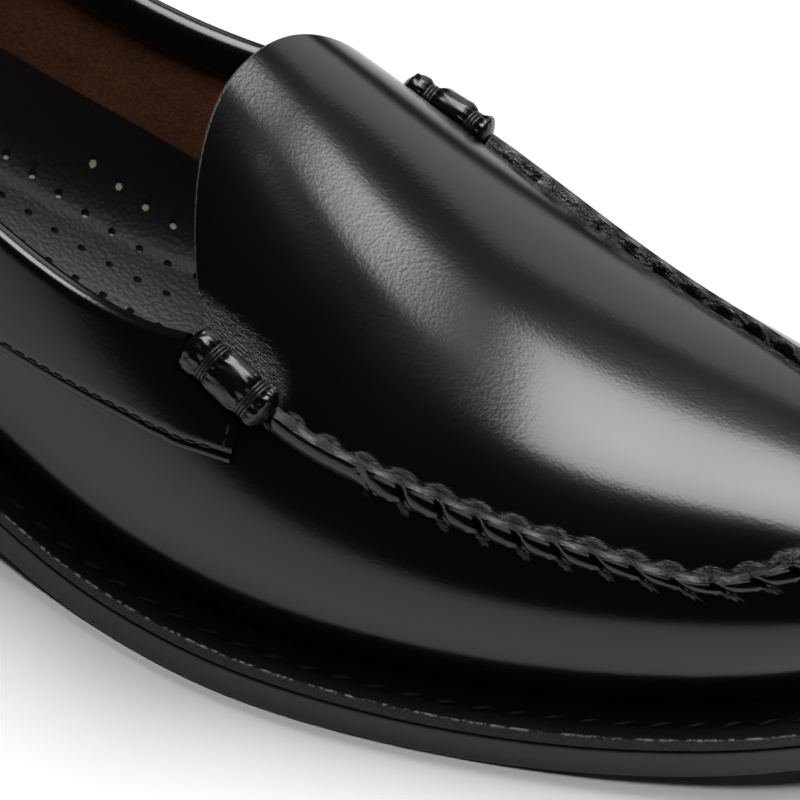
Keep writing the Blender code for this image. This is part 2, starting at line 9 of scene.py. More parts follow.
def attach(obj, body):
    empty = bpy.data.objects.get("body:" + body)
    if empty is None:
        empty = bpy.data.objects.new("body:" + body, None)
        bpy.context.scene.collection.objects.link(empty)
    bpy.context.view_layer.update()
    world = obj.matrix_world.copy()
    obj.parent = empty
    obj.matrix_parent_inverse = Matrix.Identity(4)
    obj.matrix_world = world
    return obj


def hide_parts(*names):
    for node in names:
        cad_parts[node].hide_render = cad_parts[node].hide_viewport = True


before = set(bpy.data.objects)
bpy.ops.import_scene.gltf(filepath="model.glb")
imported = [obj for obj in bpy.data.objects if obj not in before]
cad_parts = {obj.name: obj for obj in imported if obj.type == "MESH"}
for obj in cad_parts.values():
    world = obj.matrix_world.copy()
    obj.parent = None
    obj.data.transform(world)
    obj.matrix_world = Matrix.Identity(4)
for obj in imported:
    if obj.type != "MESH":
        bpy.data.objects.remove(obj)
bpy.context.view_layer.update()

# ---- Wall of the upper ----
# One piece of polished black calf, lasted round the foot from the feather edge to the moccasin seam and,
# behind the throat, to the topline. It is cut from drum-dyed box calf and sewn to the apron by the seam.
# Lengths are millimetres in the shoe's own plan: x from the heel to the toe, y from lateral to medial.
HEEL_BACK = 3.0
TOE_TIP = 292.0
WIDEST_HEIGHT = 13.0
TUCK_IN = 3.2
HEEL_PLAN_RADIUS = 30.0
TOE_PLAN_RADIUS = 28.0
HEEL_SIDE_RADIUS = 150.0
TOE_SIDE_RADIUS = 20.0
SECTION_COLUMNS = ("x", "lateral", "medial", "crest", "lean")
SECTIONS = (
    (20.0, 28.0, 27.0, 76.0, 0.0),
    (45.0, 32.0, 31.5, 86.0, 0.0),
    (75.0, 31.6, 31.0, 90.0, 1.0),
    (105.0, 32.2, 30.5, 86.2, 3.0),
    (135.0, 38.0, 34.8, 80.6, 5.5),
    (160.0, 44.4, 40.4, 71.3, 7.2),
    (185.0, 48.2, 44.7, 58.2, 5.2),
    (210.0, 45.7, 46.0, 46.5, 3.4),
    (235.0, 38.8, 44.1, 39.2, 2.2),
    (260.0, 28.8, 38.0, 35.0, 1.6),
    (280.0, 17.0, 27.0, 28.5, 0.6),
)
FULLNESS_PLACES = (3.0, 60.0, 150.0, 200.0, 292.0)
FULLNESS_VALUES = (2.0, 2.0, 2.1, 2.3, 2.3)
SEAM_COLUMNS = ("x", "half_width", "middle")
SEAM = (
    (150.0, 34.2, 1.4),
    (170.0, 36.6, 1.3),
    (190.0, 37.3, -1.2),
    (210.0, 34.7, -1.6),
    (230.0, 31.2, -1.0),
    (245.0, 27.8, -0.6),
    (258.0, 23.4, -0.9),
)
SEAM_FRONT = 278.0
SEAM_FRONT_MIDDLE = 1.0
SEAM_SPREAD_START = 130.0
THROAT = 170.0
TOPLINE_PLACES = (3.0, 40.0, 80.0, 115.0, 150.0)
TOPLINE_LATERAL = (54.5, 49.5, 45.5, 42.0, 42.2)
TOPLINE_MEDIAL = (54.5, 50.5, 46.9, 43.8, 44.0)
HEEL_HEIGHT = 17.5
HEEL_BREAST = 74.0
WAIST_END = 168.0
FLAT_END = 218.0
TOE_SPRING = 9.0
HEEL_SEAT_SLOPE = 0.012
OUTSOLE = 6.0
WELT = 2.6
MARGIN_PLACES = (0.0, 55.0, 110.0, 150.0, 298.0)
MARGIN_VALUES = (2.8, 3.0, 4.4, 5.0, 5.0)
SEARCH_INWARD = 29.0
CORNER_FADE = 14.0
FEATHER_TURN = 1.6
LEATHER = 2.0
GAP = 0.3
OUTLINE_STEPS = 720
SEAM_ALONG = 380
SEAM_ACROSS = 230
REAR_COLUMNS = 260
BAND = 7.0
BAND_ROWS = 24
WALL_ROWS = 46
FINE_SAMPLES = 260
WELD = 0.002
MILLIMETRE = 0.001

# The moccasin seam: a narrow lip on the apron's side and, below it, the wall's edge gathered into scales, one
# to a stitch. It starts smooth beside the tied rolls.
SIDE_ROLL_LENGTH = 17.8
RIDGE_HEIGHT = 2.2
RIDGE_FADE = 2.5
LIP_REACH = 1.15
SCALE_REACH = 2.6
SCALE_BELLY = 0.7
SCALE_STEP = 0.26
SCALE_FALL = 0.5
STITCH_PITCH = 6.5
STITCH_START = 33.0
STITCH_FADE = 7.0
PUCKER_HEIGHT = 0.34
PLEAT_HEIGHT = 0.06
MOUND_HEIGHT = 0.13


def smooth_curve(places, values):
    """A natural cubic spline through a short table."""
    x = np.array(places, float)
    y = np.array(values, float)
    gaps = np.diff(x)
    system = np.eye(len(x))
    right = np.zeros(len(x))
    for i in range(1, len(x) - 1):
        system[i, i - 1 : i + 2] = gaps[i - 1], 2 * (gaps[i - 1] + gaps[i]), gaps[i]
        right[i] = 6 * ((y[i + 1] - y[i]) / gaps[i] - (y[i] - y[i - 1]) / gaps[i - 1])
    bend = np.linalg.solve(system, right)

    def value(at):
        at = np.asarray(at, float)
        i = np.clip(np.searchsorted(x, at) - 1, 0, len(x) - 2)
        d = at - x[i]
        slope = (y[i + 1] - y[i]) / gaps[i] - gaps[i] * (2 * bend[i] + bend[i + 1]) / 6
        curl = (bend[i + 1] - bend[i]) / (6 * gaps[i])
        return y[i] + slope * d + bend[i] / 2 * d**2 + curl * d**3

    return value


def ramp(value):
    """0 below 0, 1 above 1 and an even curve between."""
    value = np.clip(value, 0, 1)
    return value * value * (3 - 2 * value)


def column(table, names, name):
    """One named column of a table of sections."""
    return np.array([row[names.index(name)] for row in table])


MIDDLE = (HEEL_BACK + TOE_TIP) / 2
HALF_LENGTH = (TOE_TIP - HEEL_BACK) / 2


def station(x):
    """The angle that goes from 0 at the heel to pi at the toe, in which a rounded end is smooth."""
    return np.arccos(np.clip((MIDDLE - np.asarray(x, float)) / HALF_LENGTH, -1, 1))


def closed_size(sizes, heel_radius, toe_radius):
    """A half width or a height along the shoe, which closes with these radii at the heel and the toe."""
    angle = station(column(SECTIONS, SECTION_COLUMNS, "x"))
    ends = np.sqrt(np.array([heel_radius, toe_radius]) * HALF_LENGTH)
    shape = smooth_curve(
        np.concatenate([[0.0], angle, [math.pi]]),
        np.concatenate([ends[:1], sizes / np.sin(angle), ends[1:]]),
    )
    return lambda x: np.sin(station(x)) * shape(station(x))


def open_size(sizes):
    """A value along the shoe that stays as it is past the first and the last section."""
    angle = station(column(SECTIONS, SECTION_COLUMNS, "x"))
    shape = smooth_curve(
        np.concatenate([[0.0], angle, [math.pi]]),
        np.concatenate([sizes[:1], sizes, sizes[-1:]]),
    )
    return lambda x: shape(station(x))


LATERAL = column(SECTIONS, SECTION_COLUMNS, "lateral")
MEDIAL = column(SECTIONS, SECTION_COLUMNS, "medial")
CREST = column(SECTIONS, SECTION_COLUMNS, "crest")
half_width = closed_size((LATERAL + MEDIAL) / 2, HEEL_PLAN_RADIUS, TOE_PLAN_RADIUS)
rise = closed_size(CREST - WIDEST_HEIGHT, HEEL_SIDE_RADIUS, TOE_SIDE_RADIUS)
centre = open_size((MEDIAL - LATERAL) / 2)
lean = open_size(column(SECTIONS, SECTION_COLUMNS, "lean"))
fullness = smooth_curve(FULLNESS_PLACES, FULLNESS_VALUES)
margin = smooth_curve(MARGIN_PLACES, MARGIN_VALUES)


def height(x, y):
    """The height of the last above the welt at a point of the plan, found by halving."""
    width = np.maximum(half_width(x), 1e-6)
    power = fullness(x)
    middle, tilt = centre(x), lean(x)
    low = np.zeros(np.shape(x))
    high = np.ones(np.shape(x))
    for _ in range(30):
        share = (low + high) / 2
        across = np.abs(y - middle - tilt * share) / width
        inside = across**power + share**power < 1
        low = np.where(inside, share, low)
        high = np.where(inside, high, share)
    return WIDEST_HEIGHT + rise(x) * low


def under(x):
    """The underside of the outsole above the floor: heel seat, waist, flat tread and toe spring."""
    along = np.clip((x - HEEL_BREAST) / (WAIST_END - HEEL_BREAST), 0, 1)
    heel = HEEL_HEIGHT * (1 + np.cos(math.pi * along)) / 2
    seat = HEEL_SEAT_SLOPE * np.clip(HEEL_BREAST - x, 0, None)
    spring = np.clip(x - FLAT_END, 0, None) / (TOE_TIP + MARGIN_VALUES[-1] - FLAT_END)
    return heel + seat + TOE_SPRING * spring**2


def welt_top(x):
    return under(x) + OUTSOLE + GAP + WELT


def make_outline():
    """The widest line: plan points from the heel round by the lateral side, outward normals and shares."""
    x = MIDDLE - HALF_LENGTH * np.cos(np.linspace(0, math.pi, OUTLINE_STEPS))
    lateral_side = np.stack([x, centre(x) - half_width(x)], -1)
    medial_side = np.stack([x, centre(x) + half_width(x)], -1)[::-1]
    loop = np.concatenate([lateral_side[:-1], medial_side[:-1]])
    along = np.roll(loop, -1, 0) - np.roll(loop, 1, 0)
    normal = np.stack([along[:, 1], -along[:, 0]], -1) / np.linalg.norm(along, axis=1)[:, None]
    closed = np.concatenate([loop, loop[:1]])
    run = np.concatenate([[0], np.cumsum(np.linalg.norm(np.diff(closed, axis=0), axis=1))])
    return closed, np.concatenate([normal, normal[:1]]), run / run[-1]


OUTLINE, OUTLINE_NORMAL, OUTLINE_SHARE = make_outline()
TOE_INDEX = OUTLINE_STEPS - 1
SOLE_OUTLINE = OUTLINE + OUTLINE_NORMAL * margin(OUTLINE[:, 0])[:, None]
PLAN_CENTRE = Vector((*((SOLE_OUTLINE.min(0) + SOLE_OUTLINE.max(0)) / 2), 0))


def outline_at(share):
    """Plan points and outward normals of the widest line at shares of the way round it."""
    share = np.mod(share, 1.0)
    point = np.stack([np.interp(share, OUTLINE_SHARE, OUTLINE[:, i]) for i in (0, 1)], -1)
    normal = np.stack([np.interp(share, OUTLINE_SHARE, OUTLINE_NORMAL[:, i]) for i in (0, 1)], -1)
    return point, normal / np.linalg.norm(normal, axis=-1)[..., None]


def share_at(x, side):
    """The share at which the widest line passes x, on the lateral (-1) or the medial (1) side."""
    if side < 0:
        return np.interp(x, OUTLINE[: TOE_INDEX + 1, 0], OUTLINE_SHARE[: TOE_INDEX + 1])
    return np.interp(x, OUTLINE[TOE_INDEX:, 0][::-1], OUTLINE_SHARE[TOE_INDEX:][::-1])


def tuck(h):
    """How far inside the widest line the wall is below it."""
    return TUCK_IN * (1 - np.clip(h / WIDEST_HEIGHT, 0, 1)) ** 2


def along_line(start, end, target):
    """The share of a plan line, from the widest line inward, at which the last reaches a height."""
    low = np.zeros(len(start))
    high = np.ones(len(start))
    for _ in range(26):
        half = ((low + high) / 2)[:, None]
        here = start + (end - start) * half
        short = height(here[:, 0], here[:, 1]) < target
        low = np.where(short, half[:, 0], low)
        high = np.where(short, high, half[:, 0])
    return low


def raised(plan, h):
    """Points in space from plan points and heights above the welt."""
    return np.concatenate([plan, (welt_top(plan[..., 0]) + h)[..., None]], -1)


def seam_side(x, side):
    """The plan of the moccasin seam on one side."""
    places = column(SEAM, SEAM_COLUMNS, "x")
    reach = SEAM_FRONT - SEAM_SPREAD_START
    closing = lambda at: np.sqrt(np.clip(1 - ((at - SEAM_SPREAD_START) / reach) ** 2, 0, 1))
    full = column(SEAM, SEAM_COLUMNS, "half_width") / closing(places)
    width = smooth_curve(np.append(places, SEAM_FRONT), np.append(full, full[-1]))
    middles = np.append(column(SEAM, SEAM_COLUMNS, "middle"), SEAM_FRONT_MIDDLE)
    middle = smooth_curve(np.append(places, SEAM_FRONT), middles)
    return np.stack([x, middle(x) + side * width(x) * closing(x)], -1)


def run_along(points):
    """Distance along a line of points."""
    return np.concatenate([[0], np.cumsum(np.linalg.norm(np.diff(points, axis=0), axis=1))])


def seam_loop(count):
    """The seam in plan, from the lateral end of the throat round the toe to the medial end."""
    reach = SEAM_FRONT - SEAM_SPREAD_START
    start = math.asin((THROAT - SEAM_SPREAD_START) / reach)
    x = SEAM_SPREAD_START + reach * np.sin(np.linspace(start, math.pi / 2, 3000))
    both = np.concatenate([seam_side(x, -1), seam_side(x, 1)[::-1][1:]])
    run = run_along(both)
    even = np.linspace(0, run[-1], count)
    return np.stack([np.interp(even, run, both[:, i]) for i in range(2)], -1)


def straight_in(share, h):
    """Plan points at a height, straight in from the widest line."""
    point, normal = outline_at(share)
    inward = point - normal * SEARCH_INWARD
    return point + (inward - point) * along_line(point, inward, h)[:, None]


def topline_plan(share, ends):
    """Plan points of the topline, which starts and ends at the ends of the seam."""
    point, _ = outline_at(share)
    end_heights = height(ends[:, 0], ends[:, 1])
    side = np.where(point[:, 1] < centre(point[:, 0]), -1, 1)
    h = np.zeros(len(share))
    for sign, values, end in zip((-1, 1), (TOPLINE_LATERAL, TOPLINE_MEDIAL), end_heights):
        curve = smooth_curve(TOPLINE_PLACES + (THROAT,), values + (end,))
        h = np.where(side == sign, curve(point[:, 0]), h)
    plan = straight_in(share, h)
    for sign, corner, end in zip((-1, 1), ends, end_heights):
        shift = corner - straight_in(np.array([share_at(THROAT, sign)]), np.array([end]))[0]
        near = np.exp(-(((point[:, 0] - THROAT) / CORNER_FADE) ** 2)) * (side == sign)
        plan = plan + shift * near[:, None]
    return plan


def surface_normal(plan):
    """The direction out of the last at plan points above the widest line."""
    step = 0.05
    level = lambda x, y: welt_top(x) + height(x, y)
    x, y = plan[..., 0], plan[..., 1]
    slope_x = (level(x + step, y) - level(x - step, y)) / (2 * step)
    slope_y = (level(x, y + step) - level(x, y - step)) / (2 * step)
    normal = np.stack([-slope_x, -slope_y, np.ones(np.shape(x))], -1)
    return normal / np.linalg.norm(normal, axis=-1)[..., None]


def seam_relief(run, offset):
    """How far the seam raises the leather at a run along it and an offset from it, minus on the wall, and how
    crinkled the leather is there. Each scale is steep at its heel end and lower towards the next stitch."""
    from_end = np.minimum(run, SEAM_LENGTH - run)
    ridge = ramp((from_end - SIDE_ROLL_LENGTH) / RIDGE_FADE + 1)
    pinched = ramp((from_end - STITCH_START + 2) / STITCH_FADE)
    wall_side = offset < 0
    reach = np.abs(offset)
    low = np.minimum(reach, 2.4)
    curved = np.where(wall_side, 0.05 * low + 0.1 * low**2, 0.0)
    cell = (from_end - curved - STITCH_START) / STITCH_PITCH
    phase = cell - np.floor(cell)
    from_stitch = (cell - 0.08 - np.round(cell - 0.08)) * STITCH_PITCH
    # The lip and the scales
    scale = ramp(phase / SCALE_STEP) * (1 - SCALE_FALL * phase**1.7)
    belly = SCALE_BELLY * np.sin(math.pi * phase) ** 0.7 * pinched
    width = np.where(wall_side, SCALE_REACH + belly, LIP_REACH)
    roll = np.clip(1 - (reach / width) ** np.where(wall_side, 1.7, 2.2), 0, 1) ** 0.62
    sunk = np.where(wall_side, 1.15 * ramp(reach / 0.8), 0.12) * pinched * (1 - scale)
    # Past the scales each stitch draws up a pucker with fine pleats, and beside the lip a low mound
    past = np.clip(reach - width, 0, None)
    fan = from_stitch / (0.5 + 0.3 * past)
    pucker = np.exp(-((from_stitch / 0.8) ** 2)) * np.exp(-(((past - 0.6) / 0.9) ** 2))
    pucker *= reach > width * 0.9
    pleats = np.cos(2 * math.pi * fan) * np.exp(-((fan / 1.7) ** 2))
    pleats *= ramp(past / 0.5) * ramp((4.5 - past) / 3)
    mound = np.exp(-((from_stitch / 2.0) ** 2)) * np.exp(-(((reach - LIP_REACH - 0.1) / 0.5) ** 2))
    around = np.where(wall_side, PUCKER_HEIGHT * pucker + PLEAT_HEIGHT * pleats, MOUND_HEIGHT * mound)
    wall_crinkle = 0.8 * np.exp(-((from_stitch / 1.3) ** 2)) * np.exp(-((past / 1.6) ** 2)) * (past > 0)
    lip_crinkle = 0.35 + 0.65 * np.exp(-((from_stitch / 1.8) ** 2))
    lip_crinkle *= np.exp(-(((reach - LIP_REACH) / 1.5) ** 2))
    crinkled = np.where(wall_side, wall_crinkle * pinched, lip_crinkle) * ramp((from_end - 16) / 3)
    return ridge * (RIDGE_HEIGHT * roll * (1 - sunk) + pinched * around), crinkled


def add_patch(mesh, points, place=None):
    """A grid of faces through a table of points, with an attribute that follows the leather."""
    rows, columns = points.shape[:2]
    layer = mesh.verts.layers.float_vector.get("place") or mesh.verts.layers.float_vector.new("place")
    grid = bmesh.ops.create_grid(mesh, x_segments=columns - 1, y_segments=rows - 1, size=1)
    for vertex, point in zip(grid["verts"], points.reshape(-1, 3)):
        vertex.co = point
    if place is not None:
        for vertex, value in zip(grid["verts"], place.reshape(-1, 3)):
            vertex[layer] = value
    return grid["verts"]


def make_piece(name, mesh, material, stands_for=(), sheet_faces=0):
    """A piece that rides with the shoe, from a mesh in the shoe's own millimetres. The faces of a sheet look
    away from the room for the foot (1) or into it (-1)."""
    bmesh.ops.remove_doubles(mesh, verts=mesh.verts, dist=WELD)
    bmesh.ops.dissolve_degenerate(mesh, edges=mesh.edges, dist=WELD)
    bmesh.ops.recalc_face_normals(mesh, faces=mesh.faces)
    if sheet_faces:
        mesh.normal_update()
        total = 0.0
        for face in mesh.faces:
            middle = face.calc_center_median()
            total += face.normal.dot(middle - Vector((middle.x, 0, 25))) * face.calc_area()
        if total * sheet_faces < 0:
            bmesh.ops.reverse_faces(mesh, faces=mesh.faces)
    for vertex in mesh.verts:
        vertex.co = (vertex.co - PLAN_CENTRE) * MILLIMETRE
    data = bpy.data.meshes.new(name)
    mesh.to_mesh(data)
    mesh.free()
    data.shade_smooth()
    data.set_sharp_from_angle(angle=math.radians(50))
    data.materials.append(material)
    piece = bpy.data.objects.new(name, data)
    bpy.context.collection.objects.link(piece)
    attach(piece, "root")
    if stands_for:
        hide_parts(*stands_for)
    return piece


def linear(code):
    """A linear colour from an sRGB hex value."""
    parts = [int(code[i : i + 2], 16) / 255 for i in (1, 3, 5)]
    return (*(p / 12.92 if p <= 0.04045 else ((p + 0.055) / 1.055) ** 2.4 for p in parts), 1.0)


def wire(node, links):
    """Links a node's inputs to sockets."""
    for key, socket in links.items():
        node.id_data.links.new(socket, node.inputs[key])


def add(tree, kind, settings, links=None):
    """A node with its settings, and its inputs linked to sockets. Capital names are the node's inputs."""
    made = tree.nodes.new(kind)
    for key, value in settings.items():
        if isinstance(key, str) and key[0].islower():
            setattr(made, key, value)
        else:
            made.inputs[key].default_value = value
    wire(made, links or {})
    return made


def new_material(name, settings):
    """A material with its node tree, its shader and a socket of the piece's own coordinates."""
    material = bpy.data.materials.new(name)
    material.use_nodes = True
    tree = material.node_tree
    shader = tree.nodes["Principled BSDF"]
    for key, value in settings.items():
        shader.inputs[key].default_value = value
    return material, tree, shader, add(tree, "ShaderNodeTexCoord", {}).outputs["Object"]


def box_calf(name, roughness, crinkle):
    """Polished box calf: drum-dyed black hide, ironed and waxed, so it mirrors softly over a fine grain."""
    material, tree, shader, coords = new_material(name, {"IOR": 1.5})
    # The grain's pores are about 0.3 mm apart on the hide, and drawn at 0.6 mm so that they show
    pores = add(tree, "ShaderNodeTexVoronoi", {"Scale": 1 / 0.0006}, {"Vector": coords})
    hide = add(tree, "ShaderNodeTexNoise", {"Scale": 1 / 0.0011, "Detail": 4.0}, {"Vector": coords})
    # The wax lies unevenly over a few centimetres
    clouds = add(tree, "ShaderNodeTexNoise", {"Scale": 1 / 0.03, "Detail": 2.0}, {"Vector": coords})
    wax = clouds.outputs["Fac"]
    tint_settings = {"data_type": "RGBA", 6: linear("#050506"), 7: linear("#09090a")}
    tint = add(tree, "ShaderNodeMix", tint_settings, {0: wax})
    polish = add(tree, "ShaderNodeMapRange", {3: roughness - 0.03, 4: roughness + 0.04}, {"Value": wax})
    grain = add(
        tree, "ShaderNodeBump", {"Strength": 0.06, "Distance": 0.0001}, {"Height": pores.outputs["Distance"]}
    )
    skin_links = {"Height": hide.outputs["Fac"], "Normal": grain.outputs["Normal"]}
    normal = add(tree, "ShaderNodeBump", {"Strength": 0.08, "Distance": 0.0001}, skin_links).outputs["Normal"]
    if crinkle:
        # Fine crinkles where the leather is drawn into the seam: about 0.3 mm apart and 1 mm long beside it
        place = add(tree, "ShaderNodeAttribute", {"attribute_name": "place"}).outputs["Vector"]
        stretch = add(tree, "ShaderNodeMapping", {"Scale": (0.9, 3.4, 1.0)}, {"Vector": place})
        lines = add(
            tree,
            "ShaderNodeTexNoise",
            {"Scale": 1.0, "Detail": 4.0, "Roughness": 0.6},
            {"Vector": stretch.outputs["Vector"]},
        )
        amount = add(tree, "ShaderNodeSeparateXYZ", {}, {"Vector": place}).outputs["Z"]
        crease_links = {"Height": lines.outputs["Fac"], "Strength": amount, "Normal": normal}
        normal = add(tree, "ShaderNodeBump", {"Distance": 0.0008}, crease_links).outputs["Normal"]
    wire(shader, {"Base Color": tint.outputs[2], "Roughness": polish.outputs["Result"], "Normal": normal})
    return material


seam_plan = seam_loop(2 * SEAM_ALONG + SEAM_ACROSS + 1)
seam_line = raised(seam_plan, height(seam_plan[:, 0], seam_plan[:, 1]))
seam_run = run_along(seam_line)
SEAM_LENGTH = seam_run[-1]
share_first = share_at(THROAT, -1)
share_last = share_at(THROAT, 1)
front_share = share_first + (share_last - share_first) * np.linspace(0, 1, len(seam_plan))
rear_share = share_last + (1 + share_first - share_last) * np.linspace(0, 1, REAR_COLUMNS + 2)[1:-1]
wall_share = np.concatenate([front_share, rear_share])
wall_base, wall_out = outline_at(wall_share)
wall_top = np.concatenate([seam_plan, topline_plan(rear_share, seam_plan[[0, -1]])])
FRONT = len(seam_plan)


def wall_lines():
    """Each column of the wall as a fine line of points in space, from the feather edge to its top."""
    rows = []
    for h in np.linspace(GAP, WIDEST_HEIGHT, 40):
        rows.append(raised(wall_base - wall_out * tuck(h), np.full(len(wall_base), h)))
    for share in np.linspace(0, 1, FINE_SAMPLES)[1:] ** 2:
        plan = wall_base + (wall_top - wall_base) * share
        rows.append(raised(plan, height(plan[:, 0], plan[:, 1])))
    return np.array(rows).transpose(1, 0, 2)


wall_columns = wall_lines()
wall_runs = np.array([run_along(line) for line in wall_columns])


def at_depths(indices, depths):
    """Points of some columns at distances below their tops, measured on the leather."""
    points = []
    for index, depth in zip(indices, depths):
        line, run = wall_columns[index], wall_runs[index]
        points.append([np.interp(run[-1] - depth, run, line[:, i]) for i in range(3)])
    return np.array(points).transpose(0, 2, 1)


def wall_place(indices, depths):
    """The attribute of wall points: run along the seam, offset from it, and how crinkled the leather is."""
    run = np.where(indices < FRONT, seam_run[np.minimum(indices, FRONT - 1)], 0.0)
    run = np.broadcast_to(run[:, None], depths.shape)
    crinkled = seam_relief(run, -depths - 1e-9)[1]
    return np.stack([run, -depths, crinkled], -1)


def wall_grid(indices, depths):
    """The outside of the wall, as columns by rows, with the seam raised out of it."""
    points = at_depths(indices, depths)
    place = wall_place(indices, depths)
    relief = seam_relief(place[..., 0], place[..., 1] - 1e-9)[0]
    near_top = (depths < BAND + 0.01) & (indices < FRONT)[:, None]
    normal = surface_normal(points[..., :2])
    return np.where(near_top[..., None], points + normal * relief[..., None], points), place


front_index = np.arange(FRONT)
ring = np.concatenate([front_index, np.arange(FRONT, FRONT + REAR_COLUMNS), [0]])
band_depths = np.broadcast_to(np.linspace(0, BAND, BAND_ROWS), (len(ring), BAND_ROWS))
band, band_place = wall_grid(ring, band_depths)
for i in range(1, FRONT - 1, 2):
    band[i, -1] = band[i - 1, -1]
coarse = np.concatenate([front_index[::2], np.arange(FRONT, FRONT + REAR_COLUMNS), [0]])
totals = wall_runs[coarse, -1]
share = np.linspace(0, 1, WALL_ROWS)
lower_depths = BAND + (totals[:, None] - BAND) * share[None]
lower, lower_place = wall_grid(coarse, lower_depths)
feather_in = lower[:, -1] - np.concatenate([wall_out[coarse] * FEATHER_TURN, np.zeros((len(coarse), 1))], -1)
lower = np.concatenate([lower, feather_in[:, None]], 1)
lower_place = np.concatenate([lower_place, lower_place[:, -1:]], 1)

calf = box_calf("box_calf_polished", 0.165, True)
wall_mesh = bmesh.new()
add_patch(wall_mesh, band.transpose(1, 0, 2), band_place.transpose(1, 0, 2))
add_patch(wall_mesh, lower.transpose(1, 0, 2), lower_place.transpose(1, 0, 2))
make_piece("upper_wall", wall_mesh, calf, ("upper",), sheet_faces=1)

# ---- Apron ----
# The top of the vamp: one plain piece of the same calf inside the moccasin seam, which runs back to a raw
# tongue edge. It is pulled over the last while wet, so it is smooth but for crinkles where it is gathered.
TONGUE_RISE = 12.0
TONGUE_SKEW = 0.3
APRON_EDGE = 1.84


def apron_plans(loop, along, across):
    """The strip beside the seam and the patch inside it, in plan."""
    ahead = np.gradient(loop, axis=0)
    inward = np.stack([-ahead[:, 1], ahead[:, 0]], -1) / np.linalg.norm(ahead, axis=1)[:, None]
    strip = np.stack([loop + inward * APRON_EDGE * step for step in np.linspace(0, 1, 7)])
    edge = strip[-1]
    left = edge[: along + 1]
    front = edge[along : along + across + 1]
    right = edge[along + across :][::-1]
    over = np.linspace(-1, 1, across + 1)
    bulge = TONGUE_RISE * (1 - np.abs(over) ** 2.2) * (1 - TONGUE_SKEW * over)
    back = (left[0] + right[0]) / 2 + over[:, None] * (right[0] - left[0]) / 2
    back = back - np.stack([bulge, 0 * bulge], -1)
    s = np.linspace(0, 1, along + 1)[:, None, None]
    t = np.linspace(0, 1, across + 1)[None, :, None]
    sides = (1 - t) * left[:, None] + t * right[:, None]
    ends = (1 - s) * back[None] + s * front[None]
    corners = (1 - s) * ((1 - t) * left[0] + t * right[0]) + s * ((1 - t) * left[-1] + t * right[-1])
    return strip, sides + ends - corners


seam_tree = kdtree.KDTree(FRONT)
for i, point in enumerate(seam_line):
    seam_tree.insert(point, i)
seam_tree.balance()
seam_ahead = np.gradient(seam_line, seam_run, axis=0)


def seam_place(points):
    """Run along the seam and distance from it, for points of the apron."""
    flat = points.reshape(-1, 3)
    nearest = np.array([seam_tree.find(point)[1] for point in flat])
    away = flat - seam_line[nearest]
    ahead = seam_ahead[nearest]
    along = (away * ahead).sum(1)
    offset = np.linalg.norm(away - ahead * along[:, None], axis=1)
    return (seam_run[nearest] + along).reshape(points.shape[:-1]), offset.reshape(points.shape[:-1])


def apron_surface(plan):
    """The apron with the seam's inner half and its hollow, and its attribute."""
    flat = raised(plan, height(plan[..., 0], plan[..., 1]))
    run, offset = seam_place(flat)
    from_end = np.minimum(run, SEAM_LENGTH - run)
    relief, crinkled = seam_relief(run, np.maximum(offset, 1e-6))
    normal = surface_normal(plan)
    start = np.exp(-((from_end / 19) ** 4)) * np.exp(-((offset / 8) ** 2))
    crinkled = np.maximum(start, crinkled)
    return flat + normal * relief[..., None], np.stack([run, offset, crinkled], -1)


strip_plan, patch_plan = apron_plans(seam_plan, SEAM_ALONG, SEAM_ACROSS)
apron_strip, strip_place = apron_surface(strip_plan)
apron_patch, patch_place = apron_surface(patch_plan)
apron_mesh = bmesh.new()
add_patch(apron_mesh, apron_strip, strip_place)
add_patch(apron_mesh, apron_patch, patch_place)
make_piece("apron", apron_mesh, calf, sheet_faces=1)

# The tongue's edge is cut, not turned: skived hide, grey and fuzzy where the dye stops
raw_edge, raw_tree, raw_shader, raw_coords = new_material("cut_hide_edge", {"Roughness": 0.85})
raw_fibres = add(raw_tree, "ShaderNodeTexNoise", {"Scale": 1 / 0.0005, "Detail": 3.0}, {"Vector": raw_coords})
raw_share = add(raw_tree, "ShaderNodeMapRange", {1: 0.35, 2: 0.7}, {"Value": raw_fibres.outputs["Fac"]})
raw_tint = add(
    raw_tree,
    "ShaderNodeMix",
    {"data_type": "RGBA", 6: linear("#2a2a2b"), 7: linear("#77777a")},
    {0: raw_share.outputs["Result"]},
)
raw_bump = add(
    raw_tree, "ShaderNodeBump", {"Strength": 0.6, "Distance": 0.0003}, {"Height": raw_fibres.outputs["Fac"]}
)
wire(raw_shader, {"Base Color": raw_tint.outputs[2], "Normal": raw_bump.outputs["Normal"]})

tongue_line = apron_patch[0]
tongue_normal = surface_normal(patch_plan[0])
tongue_back = np.cross(np.gradient(tongue_line, run_along(tongue_line), axis=0), tongue_normal)
tongue_back *= np.where(tongue_back[:, :1].mean() > 0, -1, 1)
edge_profile = ((0.0, 0.0), (0.12, 0.12), (0.2, 0.4), (0.2, 1.5), (0.1, 1.9), (0.0, 2.0))
edge_rows = [tongue_line + tongue_back * back - tongue_normal * down for back, down in edge_profile]
edge_mesh = bmesh.new()
add_patch(edge_mesh, np.stack(edge_rows))
make_piece("tongue_edge", edge_mesh, raw_edge)

# ---- Lining ----
# Brown suede pigskin, glued inside the quarters and under the vamp. It is buffed on the flesh side, so it is
# matt, with a short nap that is lighter where it is brushed up.
LINING_DEPTHS = 30


def grid_normals(points):
    """Unit normals of a table of points."""
    down = np.gradient(points, axis=0)
    along = np.gradient(points, axis=1)
    normal = np.cross(down, along)
    return normal / np.maximum(np.linalg.norm(normal, axis=-1), 1e-9)[..., None]


